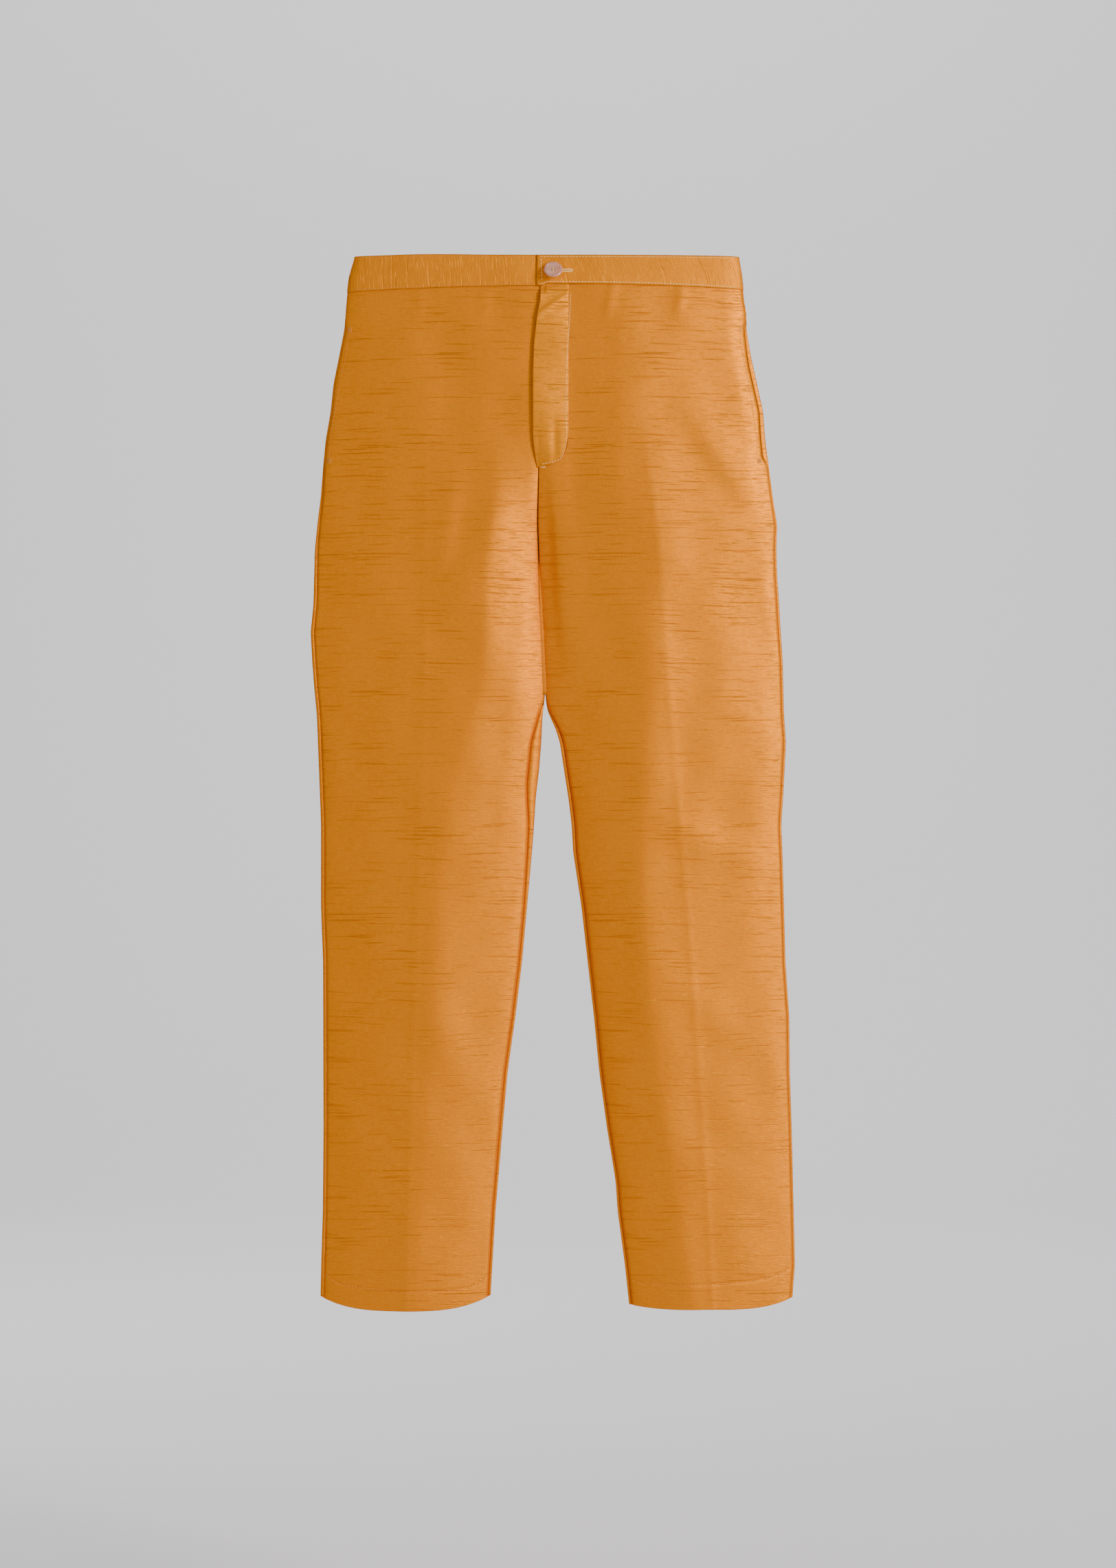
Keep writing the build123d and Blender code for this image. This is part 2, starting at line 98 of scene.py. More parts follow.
# Where each leg stands highest towards the viewer.
RIDGE = {
    -1: [
        (0, 60), (-150, 50), (-221, 50), (-289, 60), (-377, 62), (-424, 66), (-465, 78),
        (-526, 95), (-628, 108), (-750, 114), (-900, 124), (-1040, 134),
    ],
    1: [
        (0, 90), (-170, 96), (-218, 103), (-270, 108), (-336, 108), (-456, 104), (-547, 98),
        (-651, 98), (-800, 111), (-950, 135), (-1040, 150),
    ],
}
# How far the side seam and the inseam have rolled to the front.
ROLL_OUTER = {
    -1: [(0, 0.8), (-66, 0.8), (-70, 2.2), (-199, 2.2), (-204, 0.9), (-250, 2), (-330, 3.3), (-1040, 3.4)],
    1: [
        (0, 0.8), (-64, 0.8), (-70, 2.6), (-110, 5.2), (-153, 4.6), (-190, 5.4), (-199, 6), (-205, 1),
        (-280, 2), (-360, 2.6), (-1040, 2.2),
    ],
}
ROLL_INNER = {
    -1: [(0, 0), (-440, 0.6), (-462, 6), (-479, 10.5), (-515, 11), (-560, 5.5), (-641, 3.2), (-1040, 2.8)],
    1: [(0, 0), (-442, 0.6), (-465, 3.4), (-560, 3.4), (-700, 2.8), (-1040, 2.6)],
}
CREASE = {
    -1: [(0, 118), (-404, 119), (-492, 121), (-695, 128), (-1040, 137.5)],
    1: [(0, 92), (-170, 95), (-218, 102.5), (-270, 110), (-336, 115), (-403, 119), (-628, 138),
        (-830, 153), (-1040, 165)],
}
GRID_Z = np.arange(-1060.0, 31.0, 1.0)


def through(points, value):
    """Straight lines through a few points."""
    points = sorted(points)
    return np.interp(value, [p[0] for p in points], [p[1] for p in points])


def table(points, reach):
    """Smooth function of height through a few points."""
    values = through(points, GRID_Z)
    half = int(3 * reach)
    kernel = np.exp(-0.5 * (np.arange(-half, half + 1) / reach) ** 2)
    padded = np.pad(values, half, mode="edge")
    smooth = np.convolve(padded, kernel / kernel.sum(), mode="valid")
    return lambda z: np.interp(z, GRID_Z, smooth)


def both_sides(points_of, reach):
    return {side: table(points_of[side], reach) for side in (-1, 1)}


outer_at = both_sides(OUTER, 3.0)
inner_at = both_sides(INNER, 4.0)
depth_at = table(DEPTH, 20.0)
trunk_at = table(TRUNK, 14.0)
ridge_at = both_sides(RIDGE, 22.0)
roll_outer_at = both_sides(ROLL_OUTER, 2.0)
roll_inner_at = both_sides(ROLL_INNER, 5.0)
crease_at = both_sides(CREASE, 20.0)


def smoothstep(low, high, value):
    t = np.clip((value - low) / (high - low), 0.0, 1.0)
    return t * t * (3 - 2 * t)


def bell(value, width):
    return np.exp(-((value / width) ** 2))


# ---------------- folds
# Each fold: start x, z, end x, z, height, width on its left, width on its right.
FRONT_FOLDS = [
    # right leg, inside of the thigh
    (-42, -250, -88, -345, 1.6, 16, 22),
    (-14, -320, -40, -560, 1.3, 12, 20),
    (-88, -222, -104, -312, 0.9, 10, 10),
    (-150, -250, -190, -360, 1.2, 26, 22),
    (-160, -90, -120, -200, 1.0, 34, 30),
    (-60, -80, -66, -190, 1.2, 26, 20),
    (-150, -640, -190, -700, 1.0, 24, 18),
    (-70, -700, -120, -760, 0.8, 18, 18),
    (-60, -880, -110, -930, 0.8, 18, 16),
    # left leg
    (76, -70, 78, -262, 3.2, 23, 60),
    (8, -226, 20, -372, 3.2, 8, 26),
    (152, -168, 198, -236, 2.0, 14, 20),
    (206, -176, 220, -200, 1.2, 8, 8),
    (222, -290, 228, -372, 1.4, 10, 8),
    (192, -50, 204, -100, 1.4, 9, 9),
    (80, -330, 112, -470, 1.6, 22, 30),
    (165, -420, 205, -470, 1.0, 20, 18),
    (120, -560, 215, -600, 1.1, 18, 16),
    (110, -700, 190, -770, 1.0, 20, 18),
    (150, -880, 225, -930, 0.9, 20, 16),
    (90, -640, 100, -760, 0.9, 16, 20),
    # small pinches under the waistband
    (66, -30, 60, -60, 0.9, 5, 6),
    (134, -31, 130, -58, 0.8, 5, 6),
    (-60, -33, -58, -56, 0.5, 6, 6),
    (-126, -34, -124, -60, 0.5, 6, 6),
]
BACK_FOLDS = [
    (-30, -230, -110, -330, 2.6, 16, 24),
    (-26, -265, -90, -420, 2.2, 14, 22),
    (30, -230, 112, -335, 2.6, 24, 16),
    (28, -262, 92, -430, 2.2, 22, 14),
    (-150, -180, -190, -300, 1.5, 24, 24),
    (150, -190, 196, -310, 1.5, 24, 24),
    (-80, -60, -84, -150, 1.2, 18, 22),
    (84, -64, 90, -160, 1.2, 22, 18),
    (-90, -640, -190, -690, 1.6, 18, 18),
    (60, -620, 170, -700, 1.6, 18, 18),
    (-100, -720, -180, -760, 1.2, 16, 16),
    (90, -740, 200, -790, 1.2, 16, 16),
]


def fold_heights(folds, x, z):
    total = np.zeros_like(x)
    for x0, z0, x1, z1, height, left, right in folds:
        dx, dz = x1 - x0, z1 - z0
        length = math.hypot(dx, dz)
        along = ((x - x0) * dx + (z - z0) * dz) / length
        # distance measured so that positive is to the right of the fold line
        across = ((x - x0) * -dz + (z - z0) * dx) / length
        if dz > 0:
            across = -across
        width = np.where(across < 0, left, right)
        ends = smoothstep(-0.35, 0.3, along / length) * smoothstep(-0.35, 0.3, 1 - along / length)
        total += height * ends * bell(across, width)
    return total


WAVES = [
    (RNG.uniform(50, 150), RNG.uniform(-0.9, 0.9), RNG.uniform(0, 6.28), RNG.uniform(0.08, 0.3))
    for _ in range(16)
]


def ripples(x, z, shift):
    """Slow undulation of cloth that has been handled."""
    total = np.zeros_like(x)
    for wavelength, slant, phase, height in WAVES:
        bent = x + slant * z + 14 * np.sin((z + phase * 60) / 95)
        total += height * np.sin(2 * math.pi * bent / wavelength + phase + shift)
    return total


TIP = 0.12  # how far the peak of a section is rounded, as a share of its width
LEG_ROUND = 0.42  # share of a leg's section that is round; the rest is a tent
TRUNK_ROUND = 0.62


def tent(share):
    """One at the peak and nothing at the edge, with a rounded tip."""
    return 1 - (np.sqrt(share * share + TIP**2) - TIP) / (math.sqrt(1 + TIP**2) - TIP)


def section_height(side, from_centre, z, ridge):
    """Distance of the cloth from the middle plane, at a distance from the centre on one side."""
    outer = outer_at[side](z)
    inner = inner_at[side](z)
    u = np.clip((from_centre - inner) / (outer - inner), -0.3, 1.0)
    peak = np.clip((ridge - inner) / (outer - inner), 0.2, 0.8)
    t = np.where(u < peak, (peak - u) / peak, (u - peak) / (1 - peak))
    t = np.clip(t, 0, 1)
    leg = LEG_ROUND * np.sqrt(1 - t**2.4) + (1 - LEG_ROUND) * tent(t)
    wide = np.abs(u)
    full = TRUNK_ROUND * np.sqrt(np.clip(1 - wide**4, 0, 1)) + (1 - TRUNK_ROUND) * tent(wide)
    trunk = trunk_at(z)
    return depth_at(z) * (trunk * full + (1 - trunk) * leg), u


HEM_LINES = {
    -1: [(-217, -1003), (-204, -1011.6), (-180, -1015.6), (-137, -1019), (-99, -1018.4), (-78, -1016.3),
         (-62, -1009.5), (-54, -1003)],
    1: [(83, -1008.5), (98, -1011.6), (132, -1012.3), (165, -1011.6), (199, -1009.5), (219, -1006),
        (235, -1000.7), (240, -998.6)],
}
BACK_HEM = -1018.5
HEM_TURN = 0.45  # extra height of the doubled cloth below the hem stitching
HEM_GROOVE = 0.55
CREASE_HEIGHT = 0.55
RIPPLE_FRONT = 0.6
RIPPLE_BACK = 1.3
FLY_LIFT = 2.0  # how far the front rises beside the stitched fly
CENTRE_GROOVE = 0.7
EDGE_GROOVE = 2.0
FLY_SEAM = 22.6
FLY_FOLD = table([(0, -4), (-44, -5), (-60, -8), (-85, -11), (-113, -12.2), (-180, -12.2),
                  (-202, -9.5), (-210, -7.5)], 3.0)


def height(side, face, x, z):
    """Distance of one side's outer cloth from the middle plane: face -1 front, 1 back."""
    inner = inner_at[side](z)
    outer = outer_at[side](z)
    from_centre = side * x
    ridge = ridge_at[side](z) if face < 0 else (inner + outer) / 2
    base, u = section_height(side, from_centre, z, ridge)
    low = smoothstep(0.0, 0.08, u)
    taper = smoothstep(0.0, 0.1, 1 - u) * (low + (1 - low) * trunk_at(z))
    strength = smoothstep(-150, -260, z) if face < 0 else smoothstep(-260, -420, z)
    crease = CREASE_HEIGHT * strength * np.exp(-np.abs(from_centre - crease_at[side](z)) / 3.2)
    if face < 0:
        extra = fold_heights(FRONT_FOLDS, x, z) + RIPPLE_FRONT * ripples(x, z, 0.0)
        # the cloth lifts beside the stitched fly
        beside = smoothstep(FLY_SEAM, FLY_SEAM + 34, x) * smoothstep(-330, -230, z)
        extra += FLY_LIFT * beside - 0.6 * smoothstep(-330, -230, z)
        seam = smoothstep(-200, -214, z)
    else:
        extra = fold_heights(BACK_FOLDS, x, z) + RIPPLE_BACK * ripples(x, z, 2.1)
        seam = 1.0
    groove = bell(from_centre - inner, 4.5) * trunk_at(z) * seam
    # the side seam and the inseam lie in narrow grooves where they have rolled to the front
    edges = 0.0
    if face < 0:
        side_line = outer - roll_outer_at[side](z)
        inner_line = inner + roll_inner_at[side](z)
        plain = 0.5 if side > 0 else 0.5 * smoothstep(-196, -210, z)
        edges = plain * bell(from_centre - side_line, 1.2)
        edges = edges + bell(from_centre - inner_line, 1.4) * smoothstep(-438, -450, z)
        hem_z = through(HEM_LINES[side], x)
    else:
        hem_z = BACK_HEM + 0 * x
    turned = HEM_TURN * smoothstep(1.0, -1.6, z - hem_z)
    turned = turned - HEM_GROOVE * bell(z - hem_z, 1.5)
    return base + taper * (extra + crease + turned) - CENTRE_GROOVE * groove - EDGE_GROOVE * edges


# ---------------- mesh helpers
def normals_of(points):
    du = np.gradient(points, axis=1)
    dv = np.gradient(points, axis=0)
    n = np.cross(du, dv)
    length = np.linalg.norm(n, axis=2, keepdims=True)
    return n / np.maximum(length, 1e-9)


def closed_sheet(outside, inside, keep=None):
    """Vertices, faces, face sides (0 outside, 1 inside, 2 edge) of a thin closed sheet."""
    rows, cols = outside.shape[:2]
    count = rows * cols
    index = np.arange(count).reshape(rows, cols)
    if keep is None:
        keep = np.ones((rows - 1, cols - 1), bool)
    a, b = index[:-1, :-1][keep], index[:-1, 1:][keep]
    c, d = index[1:, 1:][keep], index[1:, :-1][keep]
    front = np.stack([a, b, c, d], 1)
    back = np.stack([a, d, c, b], 1) + count
    edges = np.concatenate([front[:, [0, 1]], front[:, [1, 2]], front[:, [2, 3]], front[:, [3, 0]]])
    ends = np.sort(edges, axis=1)
    key = ends[:, 0] * (2 * count) + ends[:, 1]
    _, first, counts = np.unique(key, return_index=True, return_counts=True)
    rim = edges[first[counts == 1]]
    wall = np.stack([rim[:, 1], rim[:, 0], rim[:, 0] + count, rim[:, 1] + count], 1)
    faces = np.concatenate([front, back, wall])
    sides = np.concatenate([np.zeros(len(front), int), np.ones(len(back), int), np.full(len(wall), 2)])
    vertices = np.concatenate([outside.reshape(-1, 3), inside.reshape(-1, 3)])
    used = np.unique(faces)
    renumber = np.full(2 * count, -1)
    renumber[used] = np.arange(len(used))
    return vertices[used], renumber[faces], sides, used % count


def ring_faces(rings, around, closed=False):
    """Quads between neighbouring rings of points."""
    faces = []
    for i in range(rings if closed else rings - 1):
        n = (i + 1) % rings
        for k in range(around):
            m = (k + 1) % around
            faces.append([i * around + k, i * around + m, n * around + m, n * around + k])
    return faces


def link(name, data):
    obj = bpy.data.objects.new(name, data)
    bpy.context.scene.collection.objects.link(obj)
    return obj


def new_object(name, vertices, faces, materials, face_material=None, uv=None):
    """A smooth object with its flat layout in the UV map called rest."""
    points = np.asarray(vertices)
    mesh = bpy.data.meshes.new(name)
    mesh.from_pydata((points * MM).tolist(), [], faces)
    for material in materials:
        mesh.materials.append(material)
    if face_material is not None:
        mesh.polygons.foreach_set("material_index", np.asarray(face_material, dtype=np.int32))
    mesh.polygons.foreach_set("use_smooth", np.ones(len(mesh.polygons), dtype=bool))
    layer = mesh.uv_layers.new(name="rest")
    flat = points[:, [0, 2]] if uv is None else uv
    corner = np.zeros(len(mesh.loops), dtype=np.int32)
    mesh.loops.foreach_get("vertex_index", corner)
    layer.data.foreach_set("uv", (flat[corner] * MM).astype(np.float32).ravel())
    mesh.update()
    return link(name, mesh)


def sheet_object(name, points, thickness, cloth, lining, keep=None, inset=0.0, shift=0.0):
    """A thin closed sheet whose outer face is a grid of points, inset along its normals."""
    n = normals_of(points)
    outside = points - n * inset
    inside = points - n * (inset + thickness)
    vertices, faces, sides, source = closed_sheet(outside, inside, keep)
    run = np.linalg.norm(np.diff(points, axis=1), axis=2)
    along = np.concatenate([np.zeros((points.shape[0], 1)), np.cumsum(run, axis=1)], axis=1)
    along -= along[:, :1]
    uv = np.stack([along.ravel() + shift, points[:, :, 2].ravel()], 1)[source]
    face_material = np.where(sides == 1, 1, 0)
    obj = new_object(name, vertices, faces.tolist(), [cloth, lining], face_material, uv)
    obj.data.validate()
    return obj


def merged(name, parts, materials):
    """One object from several (vertices, faces) parts."""
    vertices, faces, start = [], [], 0
    for points, polygons in parts:
        vertices.append(np.asarray(points))
        faces += [[i + start for i in polygon] for polygon in polygons]
        start += len(points)
    return new_object(name, np.concatenate(vertices), faces, materials)


def declare(obj, body, nodes):
    """Attaches the piece to its body and hides the CAD nodes it stands for."""
    if body:
        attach(obj, body)
    if nodes:
        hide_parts(*nodes)


# ---------------- materials
class Nodes:
    """Small helper that adds and links shader nodes."""

    def __init__(self, name):
        self.material = bpy.data.materials.new(name)
        self.material.use_nodes = True
        self.tree = self.material.node_tree
        self.shader = self.tree.nodes["Principled BSDF"]

    def feed(self, socket, value):
        if isinstance(value, bpy.types.NodeSocket):
            self.tree.links.new(value, socket)
        else:
            socket.default_value = value

    def add(self, kind, inputs=None, **settings):
        node = self.tree.nodes.new(kind)
        for key, value in settings.items():
            setattr(node, key, value)
        for key, value in (inputs or {}).items():
            self.feed(node.inputs[key], value)
        return node

    def math(self, operation, a, b=0.0):
        return self.add("ShaderNodeMath", {0: a, 1: b}, operation=operation).outputs[0]

    def times(self, a, b):
        return self.math("MULTIPLY", a, b)

    def noise(self, vector, scale, detail=2.0, rough=0.5):
        inputs = {"Vector": vector, "Scale": scale, "Detail": detail, "Roughness": rough}
        return self.add("ShaderNodeTexNoise", inputs).outputs["Fac"]

    def ramp(self, value, low, high, start=0.0, end=1.0):
        inputs = {"Value": value, "From Min": low, "From Max": high, "To Min": start, "To Max": end}
        return self.add("ShaderNodeMapRange", inputs).outputs["Result"]

    def mix(self, factor, a, b):
        return self.add("ShaderNodeMix", {0: factor, 6: a, 7: b}, data_type="RGBA").outputs[2]

    def place(self):
        return self.add("ShaderNodeTexCoord").outputs["Object"]

    def layout(self):
        return self.add("ShaderNodeUVMap", uv_map="rest").outputs["UV"]

    def set(self, **values):
        for key, value in values.items():
            self.feed(self.shader.inputs[key.replace("_", " ").title().replace("Ior", "IOR")], value)

    def bump(self, height_value, strength, distance):
        inputs = {"Height": height_value, "Strength": strength, "Distance": distance}
        self.set(normal=self.add("ShaderNodeBump", inputs).outputs["Normal"])


def rgb(r, g, b):
    """Linear colour from display values out of 255."""
    out = []
    for value in (r, g, b):
        share = value / 255
        out.append(share / 12.92 if share <= 0.04045 else ((share + 0.055) / 1.055) ** 2.4)
    return (*out, 1.0)


def silk(name, body, shade, light, vertical=False, slub=1.0, sheen=0.06, shine=0.6):
    """Dupion: a plain weave with uneven thick weft threads. Slubs run across, or up and down."""
    n = Nodes(name)
    uv = n.layout()
    split = n.add("ShaderNodeSeparateXYZ", {0: uv})
    weft, warp = (split.outputs[1], split.outputs[0]) if vertical else split.outputs[:2]
    slow = n.noise(uv, 5.0, 2.0)
    bent = n.math("ADD", warp, n.times(slow, 0.012))

    def yarns(along, across, offset, detail=1.0, rough=0.5):
        """Noise drawn out along the weft; along and across are in features per metre."""
        inputs = {"X": n.times(weft, along), "Y": n.times(bent, across), "Z": offset}
        return n.noise(n.add("ShaderNodeCombineXYZ", inputs).outputs[0], 1.0, detail, rough)

    long_slubs = yarns(15, 500, 0.0)
    short_slubs = yarns(62, 900, 4.0)
    fine_slubs = yarns(110, 1500, 21.0)
    cluster = n.ramp(n.noise(uv, 13.0, 2.0), 0.38, 0.60, 0.5, 1.0)
    dark = n.times(n.ramp(long_slubs, 0.62, 0.71), cluster)
    fine = n.times(n.ramp(fine_slubs, 0.60, 0.72), n.ramp(cluster, 0.2, 0.9))
    pale = n.times(n.ramp(short_slubs, 0.61, 0.72), cluster)
    threads = yarns(120, 2300, 9.0, 2.0, 0.7)
    ends = yarns(2100, 70, 15.0)
    tone = n.ramp(n.noise(uv, 330.0, 3.0, 0.7), 0.3, 0.7)
    colour = n.mix(n.times(tone, 0.22), body, light)
    for mask, amount, towards in (
        (n.ramp(threads, 0.3, 0.7), 0.28, shade), (n.ramp(ends, 0.35, 0.65), 0.14, shade),
        (dark, 0.5 * slub, shade), (fine, 0.35 * slub, shade), (pale, 0.5 * slub, light),
    ):
        colour = n.mix(n.times(mask, amount), colour, towards)
    # the silk yarns shine in their own colour: a share of coloured reflection
    n.set(base_color=colour, metallic=shine, roughness=n.ramp(threads, 0.3, 0.7, 0.40, 0.54))
    n.set(specular_ior_level=0.15, sheen_weight=sheen, sheen_roughness=0.35)
    n.set(sheen_tint=(1.0, 0.40, 0.01, 1.0), specular_tint=(1.0, 0.5, 0.05, 1.0))
    relief = n.times(dark, -1.0 * slub)
    for mask, amount in ((pale, 0.9 * slub), (threads, 0.5), (ends, 0.25)):
        relief = n.math("ADD", relief, n.times(mask, amount))
    n.bump(relief, 0.75, 0.0005)
    return n.material


TURN = 6.283


def woven(name, body, shade, scale):
    """Plain fine weave for linings, tapes and interlining, scale threads to the metre."""
    n = Nodes(name)
    uv = n.layout()
    split = n.add("ShaderNodeSeparateXYZ", {0: uv})
    waves = [n.math("SINE", n.times(split.outputs[i], scale * TURN)) for i in (0, 1)]
    weave = n.ramp(n.times(waves[0], waves[1]), -1.0, 1.0)
    cloud = n.noise(uv, 40.0, 3.0, 0.6)
    colour = n.mix(n.times(weave, 0.5), body, shade)
    colour = n.mix(n.times(cloud, 0.25), colour, shade)
    n.set(base_color=colour, roughness=0.85, specular_ior_level=0.2, sheen_weight=0.2)
    n.bump(n.math("ADD", weave, cloud), 0.3, 0.0003)
    return n.material


def clouded(name, body, shade, grain, tones, relief, **settings):
    """Two tones in fine clouds. grain is the noise's scale, detail and roughness."""
    n = Nodes(name)
    cloud = n.noise(n.place(), *grain)
    n.set(base_color=n.mix(n.ramp(cloud, *tones), body, shade), **settings)
    n.bump(cloud, *relief)
    return n, cloud


def twisted(name, body, shade):
    """Sewing thread with a fine twist."""
    look = {"roughness": 0.5, "specular_ior_level": 0.35}
    return clouded(name, body, shade, (2600.0, 2.0, 0.5), (0.35, 0.65), (0.3, 0.0002), **look)[0].material


def metal(name, body, shade):
    n, wear = clouded(name, body, shade, (260.0, 4.0, 0.6), (0.35, 0.7), (0.12, 0.0001), metallic=1.0)
    n.set(roughness=n.ramp(wear, 0.3, 0.7, 0.28, 0.46))
    return n.material


def moulded(name, body, shade):
    grain = (420.0, 3.0, 0.6)
    return clouded(name, body, shade, grain, (0.4, 0.7), (0.08, 0.0001), roughness=0.35)[0].material


def clear_resin(name):
    """Pinkish see-through button resin with faint clouds."""
    look = {"roughness": 0.14, "transmission_weight": 0.55, "ior": 1.49, "specular_ior_level": 0.6}
    body, shade = rgb(250, 206, 184), rgb(226, 160, 136)
    n, _ = clouded(name, body, shade, (150.0, 4.0, 0.65), (0.35, 0.65), (0.05, 0.0002), **look)
    n.set(coat_weight=0.5, coat_roughness=0.08)
    return n.material


SILK = silk("silk", (0.84, 0.240, 0.002, 1), (0.50, 0.115, 0.001, 1), (1.0, 0.39, 0.006, 1), sheen=0.02)
# waistband silk, its slubs running up and down; its colours, darker than the panel silk, are painted shade
SILK_BAND_SHADED = silk(
    "silk_band_shaded", (0.74, 0.218, 0.002, 1), (0.50, 0.125, 0.001, 1), (0.90, 0.34, 0.006, 1),
    True, 0.7, 0.02, 0.4,
)
# fly flap silk with stronger slubs: a darker copy of the panel silk, painted shade that tones down the light
# the raised flap catches
SILK_FLY_SHADED = silk(
    "silk_fly_shaded", (0.80, 0.245, 0.002, 1), (0.48, 0.118, 0.001, 1), (0.94, 0.385, 0.005, 1),
    slub=1.6, sheen=0.02,
)
# inner faces and inner pieces: a copy of the silk with less shine; its darker colour is painted shade
SILK_INSIDE_SHADED = silk(
    "silk_inside", (0.56, 0.15, 0.002, 1), (0.38, 0.09, 0.001, 1), (0.68, 0.21, 0.004, 1),
    False, 0.6, 0.1, 0.15,
)
LINING = woven("pocket_cotton", rgb(224, 186, 128), rgb(196, 154, 98), 700)
FUSING = woven("interlining", rgb(226, 220, 204), rgb(200, 192, 172), 500)
TAPE_CLOTH = woven("zip_tape", rgb(206, 124, 38), rgb(176, 98, 26), 800)
THREAD = twisted("thread", (1.0, 0.66, 0.26, 1), (0.9, 0.48, 0.12, 1))
# deeper orange thread for hems and pockets; on the waistband's right half it is painted shade
THREAD_DEEP = twisted("thread_deep", (0.80, 0.30, 0.03, 1), (0.58, 0.18, 0.012, 1))
BRASS = metal("zip_metal", rgb(206, 172, 110), rgb(168, 128, 74))
TEETH = moulded("zip_resin", rgb(204, 128, 48), rgb(178, 100, 34))
RESIN = clear_resin("button_resin")

# ---------------- trouser panels
LEG_OF = {-1: "right", 1: "left"}
LEG_BOTTOM = -1038.0
BAND_HALF = 193.0
PANEL_CLOTH = 0.6
FLAP_FOOT = [(-14, -209.4), (-5, -208.8), (6, -206), (13, -203), (17, -198), (19.5, -191), (21.3, -182),
             (23, -170)]


def band_bottom(x):
    """Height of the waistband's lower edge."""
    left = -30.3 - 5.0 * (np.abs(x) / 194) ** 2
    right = -28.3 - 4.6 * (np.abs(x) / 194) ** 2
    return np.where(x < 0, left, right)


def flap_bottom(x):
    """Lower edge of the fly, where its stitching turns across to the fold."""
    return through(FLAP_FOOT, x)


def hem_line(side, u):
    """Height of the folded hem edge; the corners sit a little higher than the middle."""
    inner_rise = 14.0 if side < 0 else 5.0
    outer_rise = 13.0 if side < 0 else 12.0
    rise = np.where(u < 0.5, inner_rise, outer_rise) * np.abs(2 * u - 1) ** 3.2
    return LEG_BOTTOM + rise + (1.8 if side > 0 else 0.0) * (1 - np.abs(2 * u - 1))


def spaced(count, packing=0.75):
    """Shares from 0 to 1, packed towards both ends."""
    t = np.linspace(0, 1, count)
    return (1 - packing) * t + packing * (1 - np.cos(math.pi * t)) / 2


def constant(share):
    return lambda z: share + 0 * z


def level(value):
    return lambda side, u: value + 0 * u


def straight(face, shares):
    """Columns that keep their share of the width at every height."""
    return [(face, constant(share)) for share in shares]


def between(low_at, high_at, share):
    """Share of the width as a function of height, part of the way between two others."""
    return lambda z: low_at(z) + (high_at(z) - low_at(z)) * share


def cloth_grid(side, path, top, bottom, row_shares):
    """Grid of surface points. path has a (face, share of the width at a height) for each column."""
    v = row_shares[:, None]
    rows = len(v)
    columns = len(path)
    shares = np.zeros((rows, columns))
    faces = np.zeros(columns)
    z = np.zeros((rows, columns))
    for j, (column_face, share_at) in enumerate(path):
        faces[j] = column_face
        u = share_at(LEG_BOTTOM * v[:, 0])
        for _ in range(2):
            z_top = top(side, u)
            z_bottom = bottom(side, u)
            z[:, j] = z_top + (z_bottom - z_top) * v[:, 0]
            u = share_at(z[:, j])
        shares[:, j] = u
    inner = inner_at[side](z)
    outer = outer_at[side](z)
    x = side * (inner + (outer - inner) * shares)
    y = np.zeros_like(x)
    for column_face in (-1, 1):
        pick = faces == column_face
        if pick.any():
            y[:, pick] = column_face * height(side, column_face, x[:, pick], z[:, pick])
    return np.stack([x, y, z], 2)


def tuck(points, depth=0.8):
    """Pushes the cloth in where it runs up behind the waistband."""
    x, z = points[:, :, 0], points[:, :, 2]
    points[:, :, 1] -= np.sign(points[:, :, 1]) * depth * smoothstep(-1.2, 1.2, z - band_bottom(x))
    return points


def panel_top(side, u):
    return band_bottom(side * BAND_HALF * u) + 7.0


def blend_leg(obj):
    """Bakes the piece's placement into its mesh."""
    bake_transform(obj)


def panel(side, face_name, points, keep, shift):
    """One panel of silk, cut as a single piece from the waistband to the hem."""
    which = LEG_OF[side]
    name = which + "_" + face_name + "_panel_cloth"
    obj = sheet_object(name, points, PANEL_CLOTH, SILK, SILK_INSIDE_SHADED, keep, shift=shift)
    blend_leg(obj)
    nodes = [which + part + face_name + "_panel" for part in ("_", "_thigh_", "_lower_")]
    declare(obj, None, nodes)


